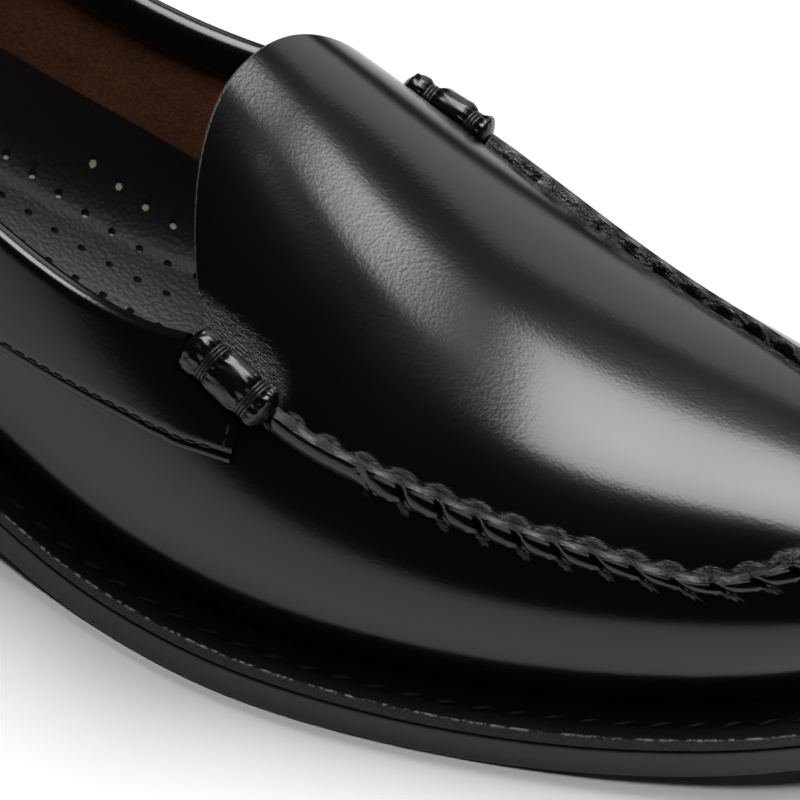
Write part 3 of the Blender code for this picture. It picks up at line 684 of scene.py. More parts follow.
suede_settings = {"Roughness": 0.95, "Specular IOR Level": 0.2, "Sheen Weight": 0.25, "Sheen Roughness": 0.5}
suede, suede_tree, suede_shader, suede_coords = new_material("suede_pigskin", suede_settings)
suede_cloud = add(
    suede_tree, "ShaderNodeTexNoise", {"Scale": 1 / 0.009, "Detail": 5.0}, {"Vector": suede_coords}
)
# The nap is about 0.7 mm long
suede_nap = add(
    suede_tree, "ShaderNodeTexNoise", {"Scale": 1 / 0.0007, "Detail": 3.0}, {"Vector": suede_coords}
).outputs["Fac"]
suede_mix = add(
    suede_tree,
    "ShaderNodeMath",
    {"operation": "MULTIPLY_ADD", 1: 0.5},
    {0: suede_cloud.outputs["Fac"], 2: suede_nap},
)
suede_share = add(suede_tree, "ShaderNodeMapRange", {1: 0.5, 2: 0.95}, {"Value": suede_mix.outputs["Value"]})
suede_tint = add(
    suede_tree,
    "ShaderNodeMix",
    {"data_type": "RGBA", 6: linear("#4f2a12"), 7: linear("#83502a")},
    {0: suede_share.outputs["Result"]},
)
suede_bump = add(suede_tree, "ShaderNodeBump", {"Strength": 0.5, "Distance": 0.0004}, {"Height": suede_nap})
wire(suede_shader, {"Base Color": suede_tint.outputs[2], "Normal": suede_bump.outputs["Normal"]})

lining_index = np.concatenate([front_index[::6], np.arange(FRONT, FRONT + REAR_COLUMNS, 2), [0]])
lining_depths = wall_runs[lining_index, -1][:, None] * np.linspace(0.012, 0.995, LINING_DEPTHS)[None]
lining_wall = at_depths(lining_index, lining_depths)
lining_out = grid_normals(lining_wall)
if (lining_out[..., :2] * wall_out[lining_index][:, None]).sum() < 0:
    lining_out = -lining_out
lining_mesh = bmesh.new()
add_patch(lining_mesh, lining_wall - lining_out * LEATHER)
under_plan = patch_plan[::10, ::10]
under_apron = raised(under_plan, height(under_plan[..., 0], under_plan[..., 1]))
add_patch(lining_mesh, under_apron - surface_normal(under_plan) * (LEATHER - 0.05))
make_piece("lining", lining_mesh, suede, sheet_faces=-1)

# ---- Collar ----
# A strip of the same calf, sewn low on the outside with one row of lockstitch, turned over the topline and
# caught inside. Its lower edge is cut, so a thin grey line shows below the stitches.
COLLAR = 1.0
COLLAR_INSIDE = 4.6
COLLAR_PLACES = (3.0, 60.0, 110.0, 131.8, 144.5, 156.8, 166.7, 170.0, 174.6, 183.9)
COLLAR_DEPTHS = (26.0, 25.0, 21.5, 18.0, 15.9, 15.0, 16.0, 16.6, 15.0, 10.5)
COLLAR_FRONT = 11.7
COLLAR_START = 4.8
COLLAR_STITCH_INSET = 1.7
COLLAR_STITCH = (2.6, 2.0, 0.24)


def leather_frames(indices, depths):
    """Points on the wall at depths below its top, with the directions out of and up the leather there."""
    both = at_depths(indices, np.stack([depths, depths + 1.5], -1))
    points, below = both[:, 0], both[:, 1]
    ahead = np.gradient(points, run_along(points), axis=0)
    outward = np.cross(ahead, points - below)
    outward /= np.linalg.norm(outward, axis=1)[:, None]
    up = np.cross(outward, ahead)
    return points, outward, up / np.linalg.norm(up, axis=1)[:, None]


def add_stitches(mesh, line, outward, stitch, slant=0.0):
    """Short rounded stitches along a line, from their pitch, length and radius, each turned by a slant."""
    pitch, length, radius = stitch
    run = run_along(line)
    ahead = np.gradient(line, run, axis=0)
    for where in np.arange(pitch / 2, run[-1] - pitch / 4, pitch):
        middle, along, out = (
            Vector([np.interp(where, run, table[:, i]) for i in range(3)])
            for table in (line, ahead, outward)
        )
        along.normalize()
        along.rotate(Matrix.Rotation(math.radians(slant), 3, out.normalized()))
        side = out.cross(along).normalized()
        out = along.cross(side)
        turned = Matrix((side, out, along)).transposed().to_4x4()
        size = Matrix.Diagonal((radius, radius, length / 2, 1))
        bmesh.ops.create_uvsphere(
            mesh, u_segments=8, v_segments=6, radius=1, matrix=Matrix.Translation(middle) @ turned @ size
        )


# Waxed linen thread: black and satin, with the twist of its plies showing
thread, thread_tree, thread_shader, thread_coords = new_material(
    "waxed_thread", {"Base Color": linear("#141415"), "Roughness": 0.45}
)
thread_ply = add(
    thread_tree,
    "ShaderNodeTexWave",
    {"wave_type": "BANDS", "bands_direction": "DIAGONAL", "Scale": 1 / 0.004, "Distortion": 1.0},
    {"Vector": thread_coords},
)
thread_bump = add(
    thread_tree,
    "ShaderNodeBump",
    {"Strength": 0.5, "Distance": 0.0001},
    {"Height": thread_ply.outputs["Fac"]},
)
wire(thread_shader, {"Normal": thread_bump.outputs["Normal"]})

ahead_count = int(np.searchsorted(seam_run, COLLAR_FRONT))
collar_index = np.concatenate(
    [
        np.arange(FRONT - 1 - ahead_count, FRONT),
        np.arange(FRONT, FRONT + REAR_COLUMNS),
        np.arange(0, ahead_count + 1),
    ]
)
collar_rear = slice(ahead_count + 1, ahead_count + 1 + REAR_COLUMNS)
collar_low = smooth_curve(COLLAR_PLACES, COLLAR_DEPTHS)(wall_top[collar_index, 0])
from_edge = (0.0, 0.0, 0.1, 0.35, 0.8, 1.2, 1.45, 1.7, 1.95, 2.2, 2.6)
from_leather = (0.1, 0.7, 1.05, 1.25, 1.3, 1.28, 1.2, 1.14, 1.2, 1.3, 1.36)
collar_rows = []
for distance, reach in zip(from_edge, from_leather):
    points, outward, up = leather_frames(collar_index, collar_low - distance)
    collar_rows.append(points + outward * reach)
for share in np.linspace(0, 1, 14)[1:]:
    depths = (collar_low - 2.6) * (1 - share) + COLLAR_START * share
    points, outward, up = leather_frames(collar_index, depths)
    collar_rows.append(points + outward * (GAP + COLLAR + 0.06 * (1 - share)))
collar_table = np.stack(collar_rows)
ends = []
for end in (0, -1):
    strip = [
        leather_frames(collar_index, collar_low * (1 - s) + COLLAR_START * s)[0][end]
        for s in np.linspace(0, 1, len(collar_rows))
    ]
    ends.append(np.array(strip)[:, None])
collar_table = np.concatenate([ends[0], collar_table, ends[1]], 1)
fold_rows = [collar_rows[-1][collar_rear]]
for depth in (3.4, 2.2, 1.0):
    points, outward, up = leather_frames(collar_index, np.full(len(collar_index), depth))
    fold_rows.append((points + outward * (GAP + COLLAR))[collar_rear])
frames = leather_frames(collar_index, np.zeros(len(collar_index)))
points, outward, up = (table[collar_rear] for table in frames)
fold_reach = GAP + COLLAR
for turn in np.linspace(0, math.pi, 13):
    over = (LEATHER / 2 + fold_reach) * math.cos(turn) - LEATHER / 2
    fold_rows.append(points + outward * over + up * (fold_reach * math.sin(turn)))
inner_edge = ((COLLAR_INSIDE - 0.3, 0.25), (COLLAR_INSIDE, 0.05), (COLLAR_INSIDE, -1.0))
for down, back in ((1.5, 0.0), (3.2, 0.1)) + inner_edge:
    fold_rows.append(points - outward * (LEATHER + fold_reach + back) - up * down)
collar_mesh = bmesh.new()
add_patch(collar_mesh, collar_table)
add_patch(collar_mesh, np.stack(fold_rows))
collar_calf = box_calf("box_calf_folded", 0.17, False)
make_piece("collar_strip", collar_mesh, collar_calf, ("collar",), sheet_faces=1)

points, outward, up = leather_frames(collar_index, collar_low - COLLAR_STITCH_INSET)
row_line, row_out = points + outward * (GAP + COLLAR - 0.12), outward
keep = slice(6, -6)
collar_stitch_mesh = bmesh.new()
add_stitches(collar_stitch_mesh, row_line[keep], row_out[keep], COLLAR_STITCH)
for end in (6, -7):
    depths = np.linspace(collar_low[end] - COLLAR_STITCH_INSET, COLLAR_START + 0.6, 8)
    table = [leather_frames(collar_index, np.full(len(collar_index), depth)) for depth in depths]
    front_line = np.array([place[end] + out[end] * (GAP + COLLAR - 0.02) for place, out, _ in table])
    front_out = np.array([out[end] for _, out, _ in table])
    add_stitches(collar_stitch_mesh, front_line, front_out, COLLAR_STITCH)
make_piece("collar_stitches", collar_stitch_mesh, thread)

# ---- Tied side rolls ----
# Where each end of the seam meets the collar, the spare leather is rolled up, tied twice round with waxed
# thread and pulled down tight, which leaves three plump lobes with pleats beside the ties.
SIDE_ROLL_RADIUS = 3.9
SIDE_ROLL_TIES = (0.3, 0.78)
SIDE_ROLL_SIDES = 64
SIDE_ROLL_STEPS = 110
TIE_DEPTH = 0.8
TIE_TURNS = (-0.62, 0.0, 0.62)
TIE_THREAD = 0.33
PLEAT_DEPTH = 0.055
# For each roll: its name, whether it is at the seam's medial end, its lift off the wall, its shift along the
# seam and its node
SIDE_ROLLS = (
    ("roll_lateral", False, 0.65, -0.6, "side_roll_lateral"),
    ("roll_medial", True, -1.0, 1.8, "side_roll_medial"),
)


def roll_rings(from_medial, lift, shift):
    """A function that gives points round the roll, at a place along it, for a radius and angles round it."""
    indices = np.arange(0, FRONT // 3)
    if from_medial:
        indices = FRONT - 1 - indices
    points, outward, up = leather_frames(indices, np.zeros(len(indices)))
    if from_medial:
        outward = -outward
    run = run_along(points)

    def ring(where, radius, turns):
        point, out, over = (
            np.array([np.interp(where + shift, run, table[:, i]) for i in range(3)])
            for table in (points, outward, up)
        )
        swing = np.sin(turns)
        rise_out = lift + radius * 0.5 + radius * swing * np.where(swing > 0, 0.95, 0.45)
        return point + out * rise_out[:, None] + over * (radius * np.cos(turns))[:, None]

    return ring


def roll_radius(where):
    """The roll's radius at a place along it: plump, and drawn in at its ends and under its ties."""
    share = where / SIDE_ROLL_LENGTH
    ends = np.sqrt(max(0.0, 1 - (2 * share - 1) ** 8)) * 0.5 + 0.5
    ties = sum(math.exp(-(((share - tie) * SIDE_ROLL_LENGTH / 1.25) ** 2)) for tie in SIDE_ROLL_TIES)
    return SIDE_ROLL_RADIUS * ends - TIE_DEPTH * ties


def add_tube(mesh, path, outward, radius, sides=8):
    """A thread along a closed path."""
    ahead = np.gradient(path, axis=0)
    ahead /= np.linalg.norm(ahead, axis=1)[:, None]
    side = np.cross(outward, ahead)
    side /= np.linalg.norm(side, axis=1)[:, None]
    out = np.cross(ahead, side)
    rows = []
    for turn in np.linspace(0, 2 * math.pi, sides + 1):
        rows.append(path + side * (radius * math.cos(turn)) + out * (radius * math.sin(turn)))
    add_patch(mesh, np.stack(rows))


# The same calf, less polished where it is rolled and pulled
roll_calf = box_calf("box_calf_rolled", 0.25, False)
turns = np.linspace(0, 2 * math.pi, SIDE_ROLL_SIDES + 1)
for roll_name, from_medial, lift, shift, node in SIDE_ROLLS:
    ring = roll_rings(from_medial, lift, shift)
    first, last = (ring(where, 0.6, turns).mean(0) for where in (0.25, SIDE_ROLL_LENGTH - 0.1))
    rings = [np.tile(first, (len(turns), 1))]
    for where in np.linspace(0.0, SIDE_ROLL_LENGTH, SIDE_ROLL_STEPS):
        pleat = 0.0
        for tie in SIDE_ROLL_TIES:
            gap = abs(where - tie * SIDE_ROLL_LENGTH)
            pleat = pleat + PLEAT_DEPTH * np.cos(turns * 15 + tie * 9 + gap) * math.exp(-((gap / 2.1) ** 2))
        wrinkle = 0.03 * np.sin(turns * 9 + where * 3.1) * ramp((3.5 - where) / 3)
        edge = min(where, SIDE_ROLL_LENGTH - where)
        closing = math.sqrt(min(1.0, (edge + 0.12) / 1.6))
        radius = roll_radius(where) * (0.45 + 0.55 * closing)
        rings.append(ring(where, radius * (1 + pleat + wrinkle), turns))
    rings.append(np.tile(last, (len(turns), 1)))
    roll_mesh = bmesh.new()
    add_patch(roll_mesh, np.stack(rings))
    make_piece(roll_name, roll_mesh, roll_calf, (node,))
    tie_mesh = bmesh.new()
    for tie in SIDE_ROLL_TIES:
        size = roll_radius(tie * SIDE_ROLL_LENGTH) + 0.12
        for turn in TIE_TURNS:
            path = ring(tie * SIDE_ROLL_LENGTH + turn, np.full(len(turns), size), turns)
            add_tube(tie_mesh, path, path - path.mean(0), TIE_THREAD)
    make_piece("tie_" + roll_name, tie_mesh, thread)

# ---- Sock and foam ----
# The sock is black pebbled sheep leather with rows of punched holes, over cream latex foam on the insole
# board. It curls up the inside arch, and the holes let the foam show.
INSOLE = 3.5
WING_HEIGHT = 15.0
WING_PLACE = 105.0
WING_REACH = 57.0
WING_WIDTH = 14.0
SOCK = 1.6
FOAM_DEPTH = 1.5
SOCK_GRID = 1.6
HOLE_RADIUS = 0.75
HOLE_SIDES = 16
HOLE_PITCH = 5.3
HOLE_LAST = 147.0
# Each row of holes: its distance from the middle, and where one of its holes is
HOLE_ROWS = (
    (12.4, 112.5),
    (19.2, 109.5),
    (25.2, 112.6),
    (31.6, 109.6),
    (5.6, 109.6),
    (-0.9, 112.4),
    (-7.4, 109.6),
    (-13.9, 112.4),
    (-20.2, 109.6),
)


def inside_edges(x, h):
    """Plan points of the room's lateral and medial edge at a height above the welt."""
    found = []
    for side in (-1, 1):
        point, normal = outline_at(share_at(x, side))
        found.append(point - normal * (tuck(h) + LEATHER * 1.2 + GAP)[:, None])
    return found


def sock_level(x, y):
    """The height of the sock's face, which rises at the inside arch."""
    edge = np.interp(x, wing_edge[:, 0], wing_edge[:, 1])
    step = np.clip((edge - y) / WING_WIDTH, 0, 1)
    wing = WING_HEIGHT * np.exp(-(((x - WING_PLACE) / WING_REACH) ** 4))
    return welt_top(x) + INSOLE + wing * (1 - step) ** 2


def side_of(edge, x):
    """The distance across the shoe at which an edge of the sock passes x."""
    return np.interp(x, edge[:, 0], edge[:, 1])


def from_holes(x, y):
    """The distance to the nearest hole's middle."""
    return np.min(np.hypot(hole_array[:, 0] - x, hole_array[:, 1] - y))


sock_x = MIDDLE - HALF_LENGTH * np.cos(np.linspace(0.08, math.pi - 0.08, 160))
wing_rise = WING_HEIGHT * np.exp(-(((sock_x - WING_PLACE) / WING_REACH) ** 4))
lateral_edge = inside_edges(sock_x, np.full(len(sock_x), INSOLE))[0]
wing_edge = inside_edges(sock_x, INSOLE + wing_rise)[1]
holes = []
for y, phase in HOLE_ROWS:
    x = phase - HOLE_PITCH * 20
    while x < HOLE_LAST:
        # The rows bend towards the ball of the foot
        place = (x, y + 0.0045 * max(0.0, x - 124) ** 2 * (1 if y > 8 else 0.4))
        if x > 22 and side_of(lateral_edge, x) + 4 < place[1] < side_of(wing_edge, x) - 4:
            holes.append(place)
        x += HOLE_PITCH
hole_array = np.array(holes)

# The sock is a flat pattern first, with its holes cut, which is then laid on the insole's shape
border = [Vector(point) for point in lateral_edge] + [Vector(point) for point in wing_edge[::-1]]
cut_points = list(border)
cut_edges = [(i, (i + 1) % len(border)) for i in range(len(border))]
angles = np.arange(HOLE_SIDES) * 2 * math.pi / HOLE_SIDES
for x, y in holes:
    first = len(cut_points)
    cut_points += [Vector((x + HOLE_RADIUS * math.cos(a), y + HOLE_RADIUS * math.sin(a))) for a in angles]
    cut_edges += [(first + i, first + (i + 1) % HOLE_SIDES) for i in range(HOLE_SIDES)]
for x in np.arange(8, 284, SOCK_GRID):
    for y in np.arange(side_of(lateral_edge, x) + 0.8, side_of(wing_edge, x) - 0.6, SOCK_GRID):
        if from_holes(x, y) > HOLE_RADIUS + 0.5:
            cut_points.append(Vector((x, y)))
flat_points, _, flat_faces, _, _, _ = geometry.delaunay_2d_cdt(cut_points, cut_edges, [], 0, 1e-4)
sock_mesh = bmesh.new()
flat = np.array([tuple(point) for point in flat_points])
levels = sock_level(flat[:, 0], flat[:, 1])
sock_verts = [sock_mesh.verts.new((x, y, z)) for (x, y), z in zip(flat, levels)]
for face in flat_faces:
    x, y = flat[list(face)].mean(0)
    inside = side_of(lateral_edge, x) - 0.05 < y < side_of(wing_edge, x) + 0.05
    if inside and from_holes(x, y) > HOLE_RADIUS * 0.9:
        sock_mesh.faces.new([sock_verts[i] for i in face])
sock_edge = [edge for edge in sock_mesh.edges if edge.is_boundary]
walls = bmesh.ops.extrude_edge_only(sock_mesh, edges=sock_edge)
for part in walls["geom"]:
    if isinstance(part, bmesh.types.BMVert):
        part.co.z -= SOCK
bmesh.ops.delete(sock_mesh, geom=[v for v in sock_mesh.verts if not v.link_faces], context="VERTS")

# Sheepskin drum-tumbled until it pebbles, about 0.9 mm across with a finer grain on them, and left matt
sock_calf, sock_tree, sock_shader, sock_coords = new_material(
    "pebbled_sheepskin", {"Base Color": linear("#1a1a1c"), "Roughness": 0.5}
)
pebbles = add(
    sock_tree,
    "ShaderNodeTexVoronoi",
    {"feature": "SMOOTH_F1", "Scale": 1 / 0.0009, "Smoothness": 0.6},
    {"Vector": sock_coords},
)
sock_fine = add(
    sock_tree, "ShaderNodeTexNoise", {"Scale": 1 / 0.0006, "Detail": 2.0}, {"Vector": sock_coords}
)
sock_bump = add(
    sock_tree,
    "ShaderNodeBump",
    {"Strength": 0.35, "Distance": 0.0003, "invert": True},
    {"Height": pebbles.outputs["Distance"]},
)
sock_bump_fine = add(
    sock_tree,
    "ShaderNodeBump",
    {"Strength": 0.2, "Distance": 0.0001},
    {"Height": sock_fine.outputs["Fac"], "Normal": sock_bump.outputs["Normal"]},
)
wire(sock_shader, {"Normal": sock_bump_fine.outputs["Normal"]})
make_piece("sock", sock_mesh, sock_calf, ("insole",))

# Latex foam: poured and sliced, cream, with open cells about 0.4 mm across
foam, foam_tree, foam_shader, foam_coords = new_material("latex_foam", {"Roughness": 0.9})
foam_cells = add(
    foam_tree, "ShaderNodeTexNoise", {"Scale": 1 / 0.0004, "Detail": 2.0}, {"Vector": foam_coords}
)
foam_tint = add(
    foam_tree,
    "ShaderNodeMix",
    {"data_type": "RGBA", 6: linear("#8f876a"), 7: linear("#cfc6a4")},
    {0: foam_cells.outputs["Fac"]},
)
wire(foam_shader, {"Base Color": foam_tint.outputs[2]})
foam_mesh = bmesh.new()
shares = np.linspace(0.02, 0.98, 30)[:, None, None]
foam_plan = lateral_edge[None] * (1 - shares) + wing_edge[None] * shares
foam_level = sock_level(foam_plan[..., 0], foam_plan[..., 1]) - FOAM_DEPTH
add_patch(foam_mesh, np.concatenate([foam_plan, foam_level[..., None]], -1))
make_piece("foam", foam_mesh, foam, sheet_faces=-1)

# ---- Welt ----
# A strip of black split leather round the feather edge, sewn through to the outsole with one row of
# lockstitch in a shallow channel. Its top is rough, and its rounded outer corner has a painted highlight in
# pale specks.
WELT_STITCH_INSET = 1.75
WELT_STITCH = (5.8, 3.6, 0.5)
WELT_STITCH_SLANT = 16.0
WELT_HIGH = OUTSOLE + GAP + WELT
SOLE_COLUMNS = 2
# The cross section from under the upper, over the stitch channel and round the edge: an offset from the
# sole's edge, or in a pair from the widest line, and a level from the welt's top
WELT_SECTION = (
    ((0, -10.0), 0.0), ((0, -1.0), 0.0), ((0, 0.6), 0.0), ((0, 1.2), 0.0),
    ((0, 1.5), -0.12), ((0, 1.75), -0.3), ((0, 2.0), -0.12), ((0, 2.3), 0.0),
    (-1.6, 0.0), (-0.8, 0.0), (-0.35, -0.03), (-0.12, -0.1), (-0.02, -0.25), (0.0, -0.5),
    (0.0, 0.3 - WELT), (-0.15, -WELT), ((0, -10.0), -WELT),
)
# The rows at the outer corner, with how strongly each is painted pale as a highlight
CORNER_HIGHLIGHT_ROWS = ((11, 1.0), (12, 0.4))


def sole_ring(section):
    """Rows of points round the sole, from pairs of an offset and a level above the sole's underside."""
    index = np.append(np.arange(0, len(OUTLINE) - 1, SOLE_COLUMNS), 0)
    point, normal = OUTLINE[index], OUTLINE_NORMAL[index]
    edge = margin(point[:, 0])
    rows = []
    for offset, level in section:
        out = edge + offset if np.isscalar(offset) else edge * offset[0] + offset[1]
        plan = point + normal * out[:, None]
        rows.append(np.concatenate([plan, (under(point[:, 0]) + level)[:, None]], -1))
    return np.stack(rows)


# Split leather: no grain layer, so it is matt and fibrous; pale specks painted along its outer corner stand
# in for a highlight
split_hide, split_tree, split_shader, split_coords = new_material("split_leather_welt", {"Roughness": 0.55})
split_fibres = add(
    split_tree,
    "ShaderNodeTexNoise",
    {"Scale": 1 / 0.0008, "Detail": 4.0, "Roughness": 0.7},
    {"Vector": split_coords},
)
split_specks = add(
    split_tree, "ShaderNodeTexNoise", {"Scale": 1 / 0.0011, "Detail": 2.0}, {"Vector": split_coords}
)
split_speck_share = add(split_tree, "ShaderNodeMapRange", {1: 0.45, 2: 0.62}, {"Value": split_specks.outputs["Fac"]})
split_place = add(split_tree, "ShaderNodeAttribute", {"attribute_name": "place"})
split_highlight_amount = add(split_tree, "ShaderNodeSeparateXYZ", {}, {"Vector": split_place.outputs["Vector"]})
# Pale specks painted on the welt's outer corner: a painted highlight, not wear
split_painted_highlight = add(
    split_tree,
    "ShaderNodeMath",
    {"operation": "MULTIPLY"},
    {0: split_speck_share.outputs["Result"], 1: split_highlight_amount.outputs["Z"]},
)
split_tint = add(
    split_tree,
    "ShaderNodeMix",
    {"data_type": "RGBA", 6: linear("#0b0b0c"), 7: linear("#a6a49f")},
    {0: split_painted_highlight.outputs["Value"]},
)
split_bump = add(
    split_tree,
    "ShaderNodeBump",
    {"Strength": 1.0, "Distance": 0.0009},
    {"Height": split_fibres.outputs["Fac"]},
)
wire(split_shader, {"Base Color": split_tint.outputs[2], "Normal": split_bump.outputs["Normal"]})

welt_rows = sole_ring([(offset, WELT_HIGH + level) for offset, level in WELT_SECTION])
welt_place = np.zeros(welt_rows.shape)
# The corner rows carry how strong the painted highlight is
for row, amount in CORNER_HIGHLIGHT_ROWS:
    welt_place[row, :, 2] = amount
welt_mesh = bmesh.new()
add_patch(welt_mesh, welt_rows, welt_place)
add_patch(welt_mesh, welt_rows[[-1, 0]])
make_piece("welt_strip", welt_mesh, split_hide, ("welt",))

stitch_line = sole_ring([((0, WELT_STITCH_INSET), WELT_HIGH + 0.02)])[0]
upward = np.tile([0.0, 0.0, 1.0], (len(stitch_line), 1))
welt_stitch_mesh = bmesh.new()
add_stitches(welt_stitch_mesh, stitch_line, upward, WELT_STITCH, WELT_STITCH_SLANT)
make_piece("welt_stitches", welt_stitch_mesh, thread)

# ---- Outsole ----
# One layer of firm sole leather, stitched and glued under the welt. Its edge is trimmed, inked black and set
# with hot wax, so it is smooth and satin, and its tread side is plain buffed leather.
SOLE_SECTION = (
    (-9.0, OUTSOLE), (-0.7, OUTSOLE), (-0.25, OUTSOLE - 0.1), (-0.05, OUTSOLE - 0.35), (0.0, OUTSOLE - 0.8),
    (0.0, 0.9), (-0.08, 0.4), (-0.35, 0.1), (-0.8, 0.0), (-9.0, 0.0),
)


def close_middle(ring, level):
    """Rows from a ring to the sole's middle line, at a level above the underside."""
    x = np.clip(ring[:, 0], HEEL_BACK + 24, TOE_TIP - 24)
    middle = np.stack([x, centre(x), 0 * x], -1)
    rows = np.stack([ring * (1 - share) + middle * share for share in np.linspace(0, 1, 9)])
    rows[1:, :, 2] = under(rows[1:, :, 0]) + level
    return rows


sole_rows = sole_ring(SOLE_SECTION)
sole_mesh = bmesh.new()
add_patch(sole_mesh, sole_rows)
add_patch(sole_mesh, close_middle(sole_rows[0], OUTSOLE))
add_patch(sole_mesh, close_middle(sole_rows[-1], 0.0))

# Inked sole leather: satin black wax over cut layers, which show as streaks 6 mm long and 0.9 mm high
edge_ink, ink_tree, ink_shader, ink_coords = new_material("inked_sole_leather", {"IOR": 1.48})
ink_layers = add(
    ink_tree, "ShaderNodeMapping", {"Scale": (1 / 0.006, 1 / 0.006, 1 / 0.0009)}, {"Vector": ink_coords}
)
ink_streaks = add(
    ink_tree, "ShaderNodeTexNoise", {"Scale": 1.0, "Detail": 3.0}, {"Vector": ink_layers.outputs["Vector"]}
)
ink_fac = ink_streaks.outputs["Fac"]
ink_tint = add(
    ink_tree, "ShaderNodeMix", {"data_type": "RGBA", 6: linear("#161617"), 7: linear("#242425")}, {0: ink_fac}
)
ink_polish = add(ink_tree, "ShaderNodeMapRange", {3: 0.36, 4: 0.5}, {"Value": ink_fac})
ink_bump = add(ink_tree, "ShaderNodeBump", {"Strength": 0.15, "Distance": 0.0002}, {"Height": ink_fac})
wire(
    ink_shader,
    {
        "Base Color": ink_tint.outputs[2],
        "Roughness": ink_polish.outputs["Result"],
        "Normal": ink_bump.outputs["Normal"],
    },
)
make_piece("sole", sole_mesh, edge_ink, ("outsole",))

# ---- Heel ----
# Stacked leather lifts, nailed and glued, trimmed and inked like the sole, over a moulded rubber top piece
# that takes the wear. Fine lines show where the lifts meet.
TOP_PIECE = 5.5
HEEL_INSET = 0.5
HEEL_TAPER = 1.2
HEEL_COLUMNS = 70
HEEL_LIFTS = 4
LIFT_LINE_SHARE = 0.03
LIFT_LINE_DEPTH = 0.16
HEEL_ROUNDING = 0.5


def heel_loop(top, bottom, inset_top, inset_bottom, lines):
    """A block of the heel: cross sections from the back to the breast, closed at the breast."""
    angles = np.linspace(station(HEEL_BACK), station(HEEL_BREAST - 2 * GAP), HEEL_COLUMNS)
    x = MIDDLE - HALF_LENGTH * np.cos(angles)
    down = [0.0, 0.0]
    edge = [HEEL_ROUNDING, 0.0]
    for i in range(lines):
        at = (i + 1) / (lines + 1)
        down += [at - LIFT_LINE_SHARE, at, at + LIFT_LINE_SHARE]
        edge += [0.0, LIFT_LINE_DEPTH, 0.0]
    down += [1.0, 1.0]
    edge += [0.0, HEEL_ROUNDING]
    rings = []
    for side, order in ((-1, 1), (1, -1)):
        point, normal = outline_at(share_at(x, side))
        columns = []
        for share, cut in list(zip(down, edge))[::order]:
            out = margin(point[:, 0]) - inset_top * (1 - share) - inset_bottom * share - cut
            plan = point + normal * out[:, None]
            level = top(plan[:, 0]) * (1 - share) + bottom * share
            columns.append(np.concatenate([plan, level[:, None]], -1))
        rings += columns
    rings.append(rings[0])
    block = bmesh.new()
    add_patch(block, np.stack(rings, 1))
    bmesh.ops.remove_doubles(block, verts=block.verts, dist=WELD)
    bmesh.ops.holes_fill(block, edges=[edge for edge in block.edges if edge.is_boundary], sides=0)
    return block


middle_inset = HEEL_INSET + HEEL_TAPER * 2 / 3
stack_mesh = heel_loop(lambda x: under(x) - GAP, TOP_PIECE + GAP, HEEL_INSET, middle_inset, HEEL_LIFTS)
make_piece("heel_lifts", stack_mesh, edge_ink, ("heel_stack",))
rubber_mesh = heel_loop(lambda x: TOP_PIECE + 0 * x, 0.0, middle_inset, HEEL_INSET + HEEL_TAPER, 0)
# Moulded rubber: dull black, with a fine and even grain from the mould
rubber, rubber_tree, rubber_shader, rubber_coords = new_material(
    "moulded_rubber", {"Base Color": linear("#131313"), "Roughness": 0.7}
)
rubber_grain = add(
    rubber_tree, "ShaderNodeTexNoise", {"Scale": 1 / 0.0006, "Detail": 2.0}, {"Vector": rubber_coords}
)
rubber_bump = add(
    rubber_tree,
    "ShaderNodeBump",
    {"Strength": 0.3, "Distance": 0.0002},
    {"Height": rubber_grain.outputs["Fac"]},
)
wire(rubber_shader, {"Normal": rubber_bump.outputs["Normal"]})
make_piece("heel_rubber", rubber_mesh, rubber, ("heel_top_piece",))

# ---- Floor, light and camera ----
# A plain pale board, three soft panels on the far side that the leather mirrors, and a small lamp that fills
# the near floor. The camera stands where the photograph's did.
LOOK_RIGHT_TURN = math.radians(18.39)
LOOK_DOWN = math.radians(41.61)
LOOK_ROLL = math.radians(9.77)
LOOK_DISTANCE = 900.13
LOOK_AIM = Vector((198.88, -15.1, 40.0))
LENS = 249.516


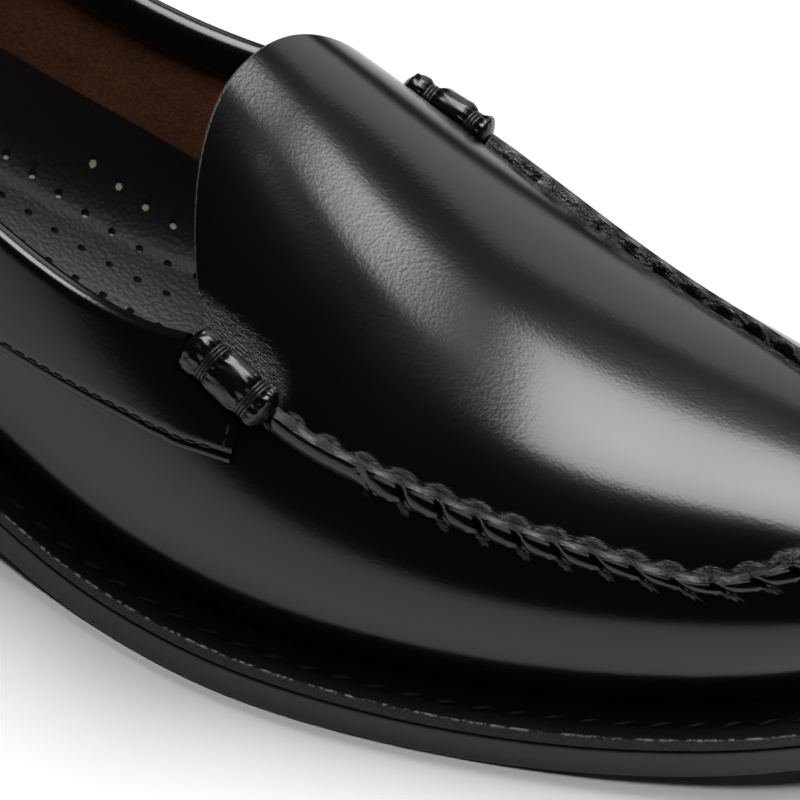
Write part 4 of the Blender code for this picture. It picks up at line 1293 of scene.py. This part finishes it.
def place_camera():
    """The photograph's camera, from its turn, its angle down, its roll and the point it aims at."""
    right = Vector((math.cos(LOOK_RIGHT_TURN), math.sin(LOOK_RIGHT_TURN), 0))
    ahead = Vector((-math.sin(LOOK_RIGHT_TURN), math.cos(LOOK_RIGHT_TURN), 0))
    look = ahead * math.cos(LOOK_DOWN) - Vector((0, 0, 1)) * math.sin(LOOK_DOWN)
    up = right.cross(look)
    turn = Matrix.Rotation(-LOOK_ROLL, 3, look)
    right, up = turn @ right, turn @ up
    place = (LOOK_AIM - look * LOOK_DISTANCE - PLAN_CENTRE) * MILLIMETRE
    data = bpy.data.cameras.new("camera")
    data.lens = LENS
    data.sensor_width = 36.0
    data.clip_start = 0.01
    data.clip_end = 50.0
    camera = bpy.data.objects.new("camera", data)
    bpy.context.collection.objects.link(camera)
    turned = Matrix((right, up, -look)).transposed()
    camera.matrix_world = Matrix.Translation(place) @ turned.to_4x4()
    bpy.context.scene.camera = camera


place_camera()

floor_mesh = bmesh.new()
bmesh.ops.create_grid(floor_mesh, x_segments=1, y_segments=1, size=3)
floor_data = bpy.data.meshes.new("floor")
floor_mesh.to_mesh(floor_data)
floor_mesh.free()
floor = bpy.data.objects.new("floor", floor_data)
bpy.context.collection.objects.link(floor)
# Painted board: matt and nearly white
floor_look = {"Base Color": linear("#f4f4f4"), "Roughness": 0.9, "Specular IOR Level": 0.1}
floor_data.materials.append(new_material("painted_board", floor_look)[0])

LIGHT_TARGET = Vector((0.05, 0.0, 0.04))


def light_panel(name, azimuth, elevation, distance, width, tall, watts, spread=180, roll=0, seen=True):
    """A soft rectangular light that faces the shoe from a direction, in degrees from the toe's way. One that
    isn't seen leaves no highlight of its own."""
    a, e = math.radians(azimuth), math.radians(elevation)
    away = Vector((math.cos(a) * math.cos(e), math.sin(a) * math.cos(e), math.sin(e)))
    data = bpy.data.lights.new(name, "AREA")
    data.shape = "RECTANGLE"
    data.size = width
    data.size_y = tall
    data.energy = watts
    data.spread = math.radians(spread)
    light = bpy.data.objects.new(name, data)
    bpy.context.collection.objects.link(light)
    light.location = LIGHT_TARGET + away * distance
    turned = away.to_track_quat("Z", "Y").to_matrix() @ Matrix.Rotation(math.radians(roll), 3, "Z")
    light.rotation_euler = turned.to_euler()
    light.visible_glossy = seen


light_panel("key_softbox", 84, 66, 1.2, 0.65, 0.78, 4.7, spread=100, roll=6)
light_panel("strip_softbox", 46, 47.5, 1.2, 0.14, 0.44, 2.1, roll=44)
light_panel("low_panel", 86, 22, 1.2, 0.64, 0.58, 1.3)
light_panel("floor_fill", -80, 72, 1.0, 0.35, 0.35, 0.46, spread=60, seen=False)

world = bpy.data.worlds.new("studio")
world.use_nodes = True
world.node_tree.nodes["Background"].inputs["Color"].default_value = (0.015, 0.015, 0.016, 1)
world.node_tree.nodes["Background"].inputs["Strength"].default_value = 1.0
bpy.context.scene.world = world
bpy.context.scene.view_settings.view_transform = "Standard"
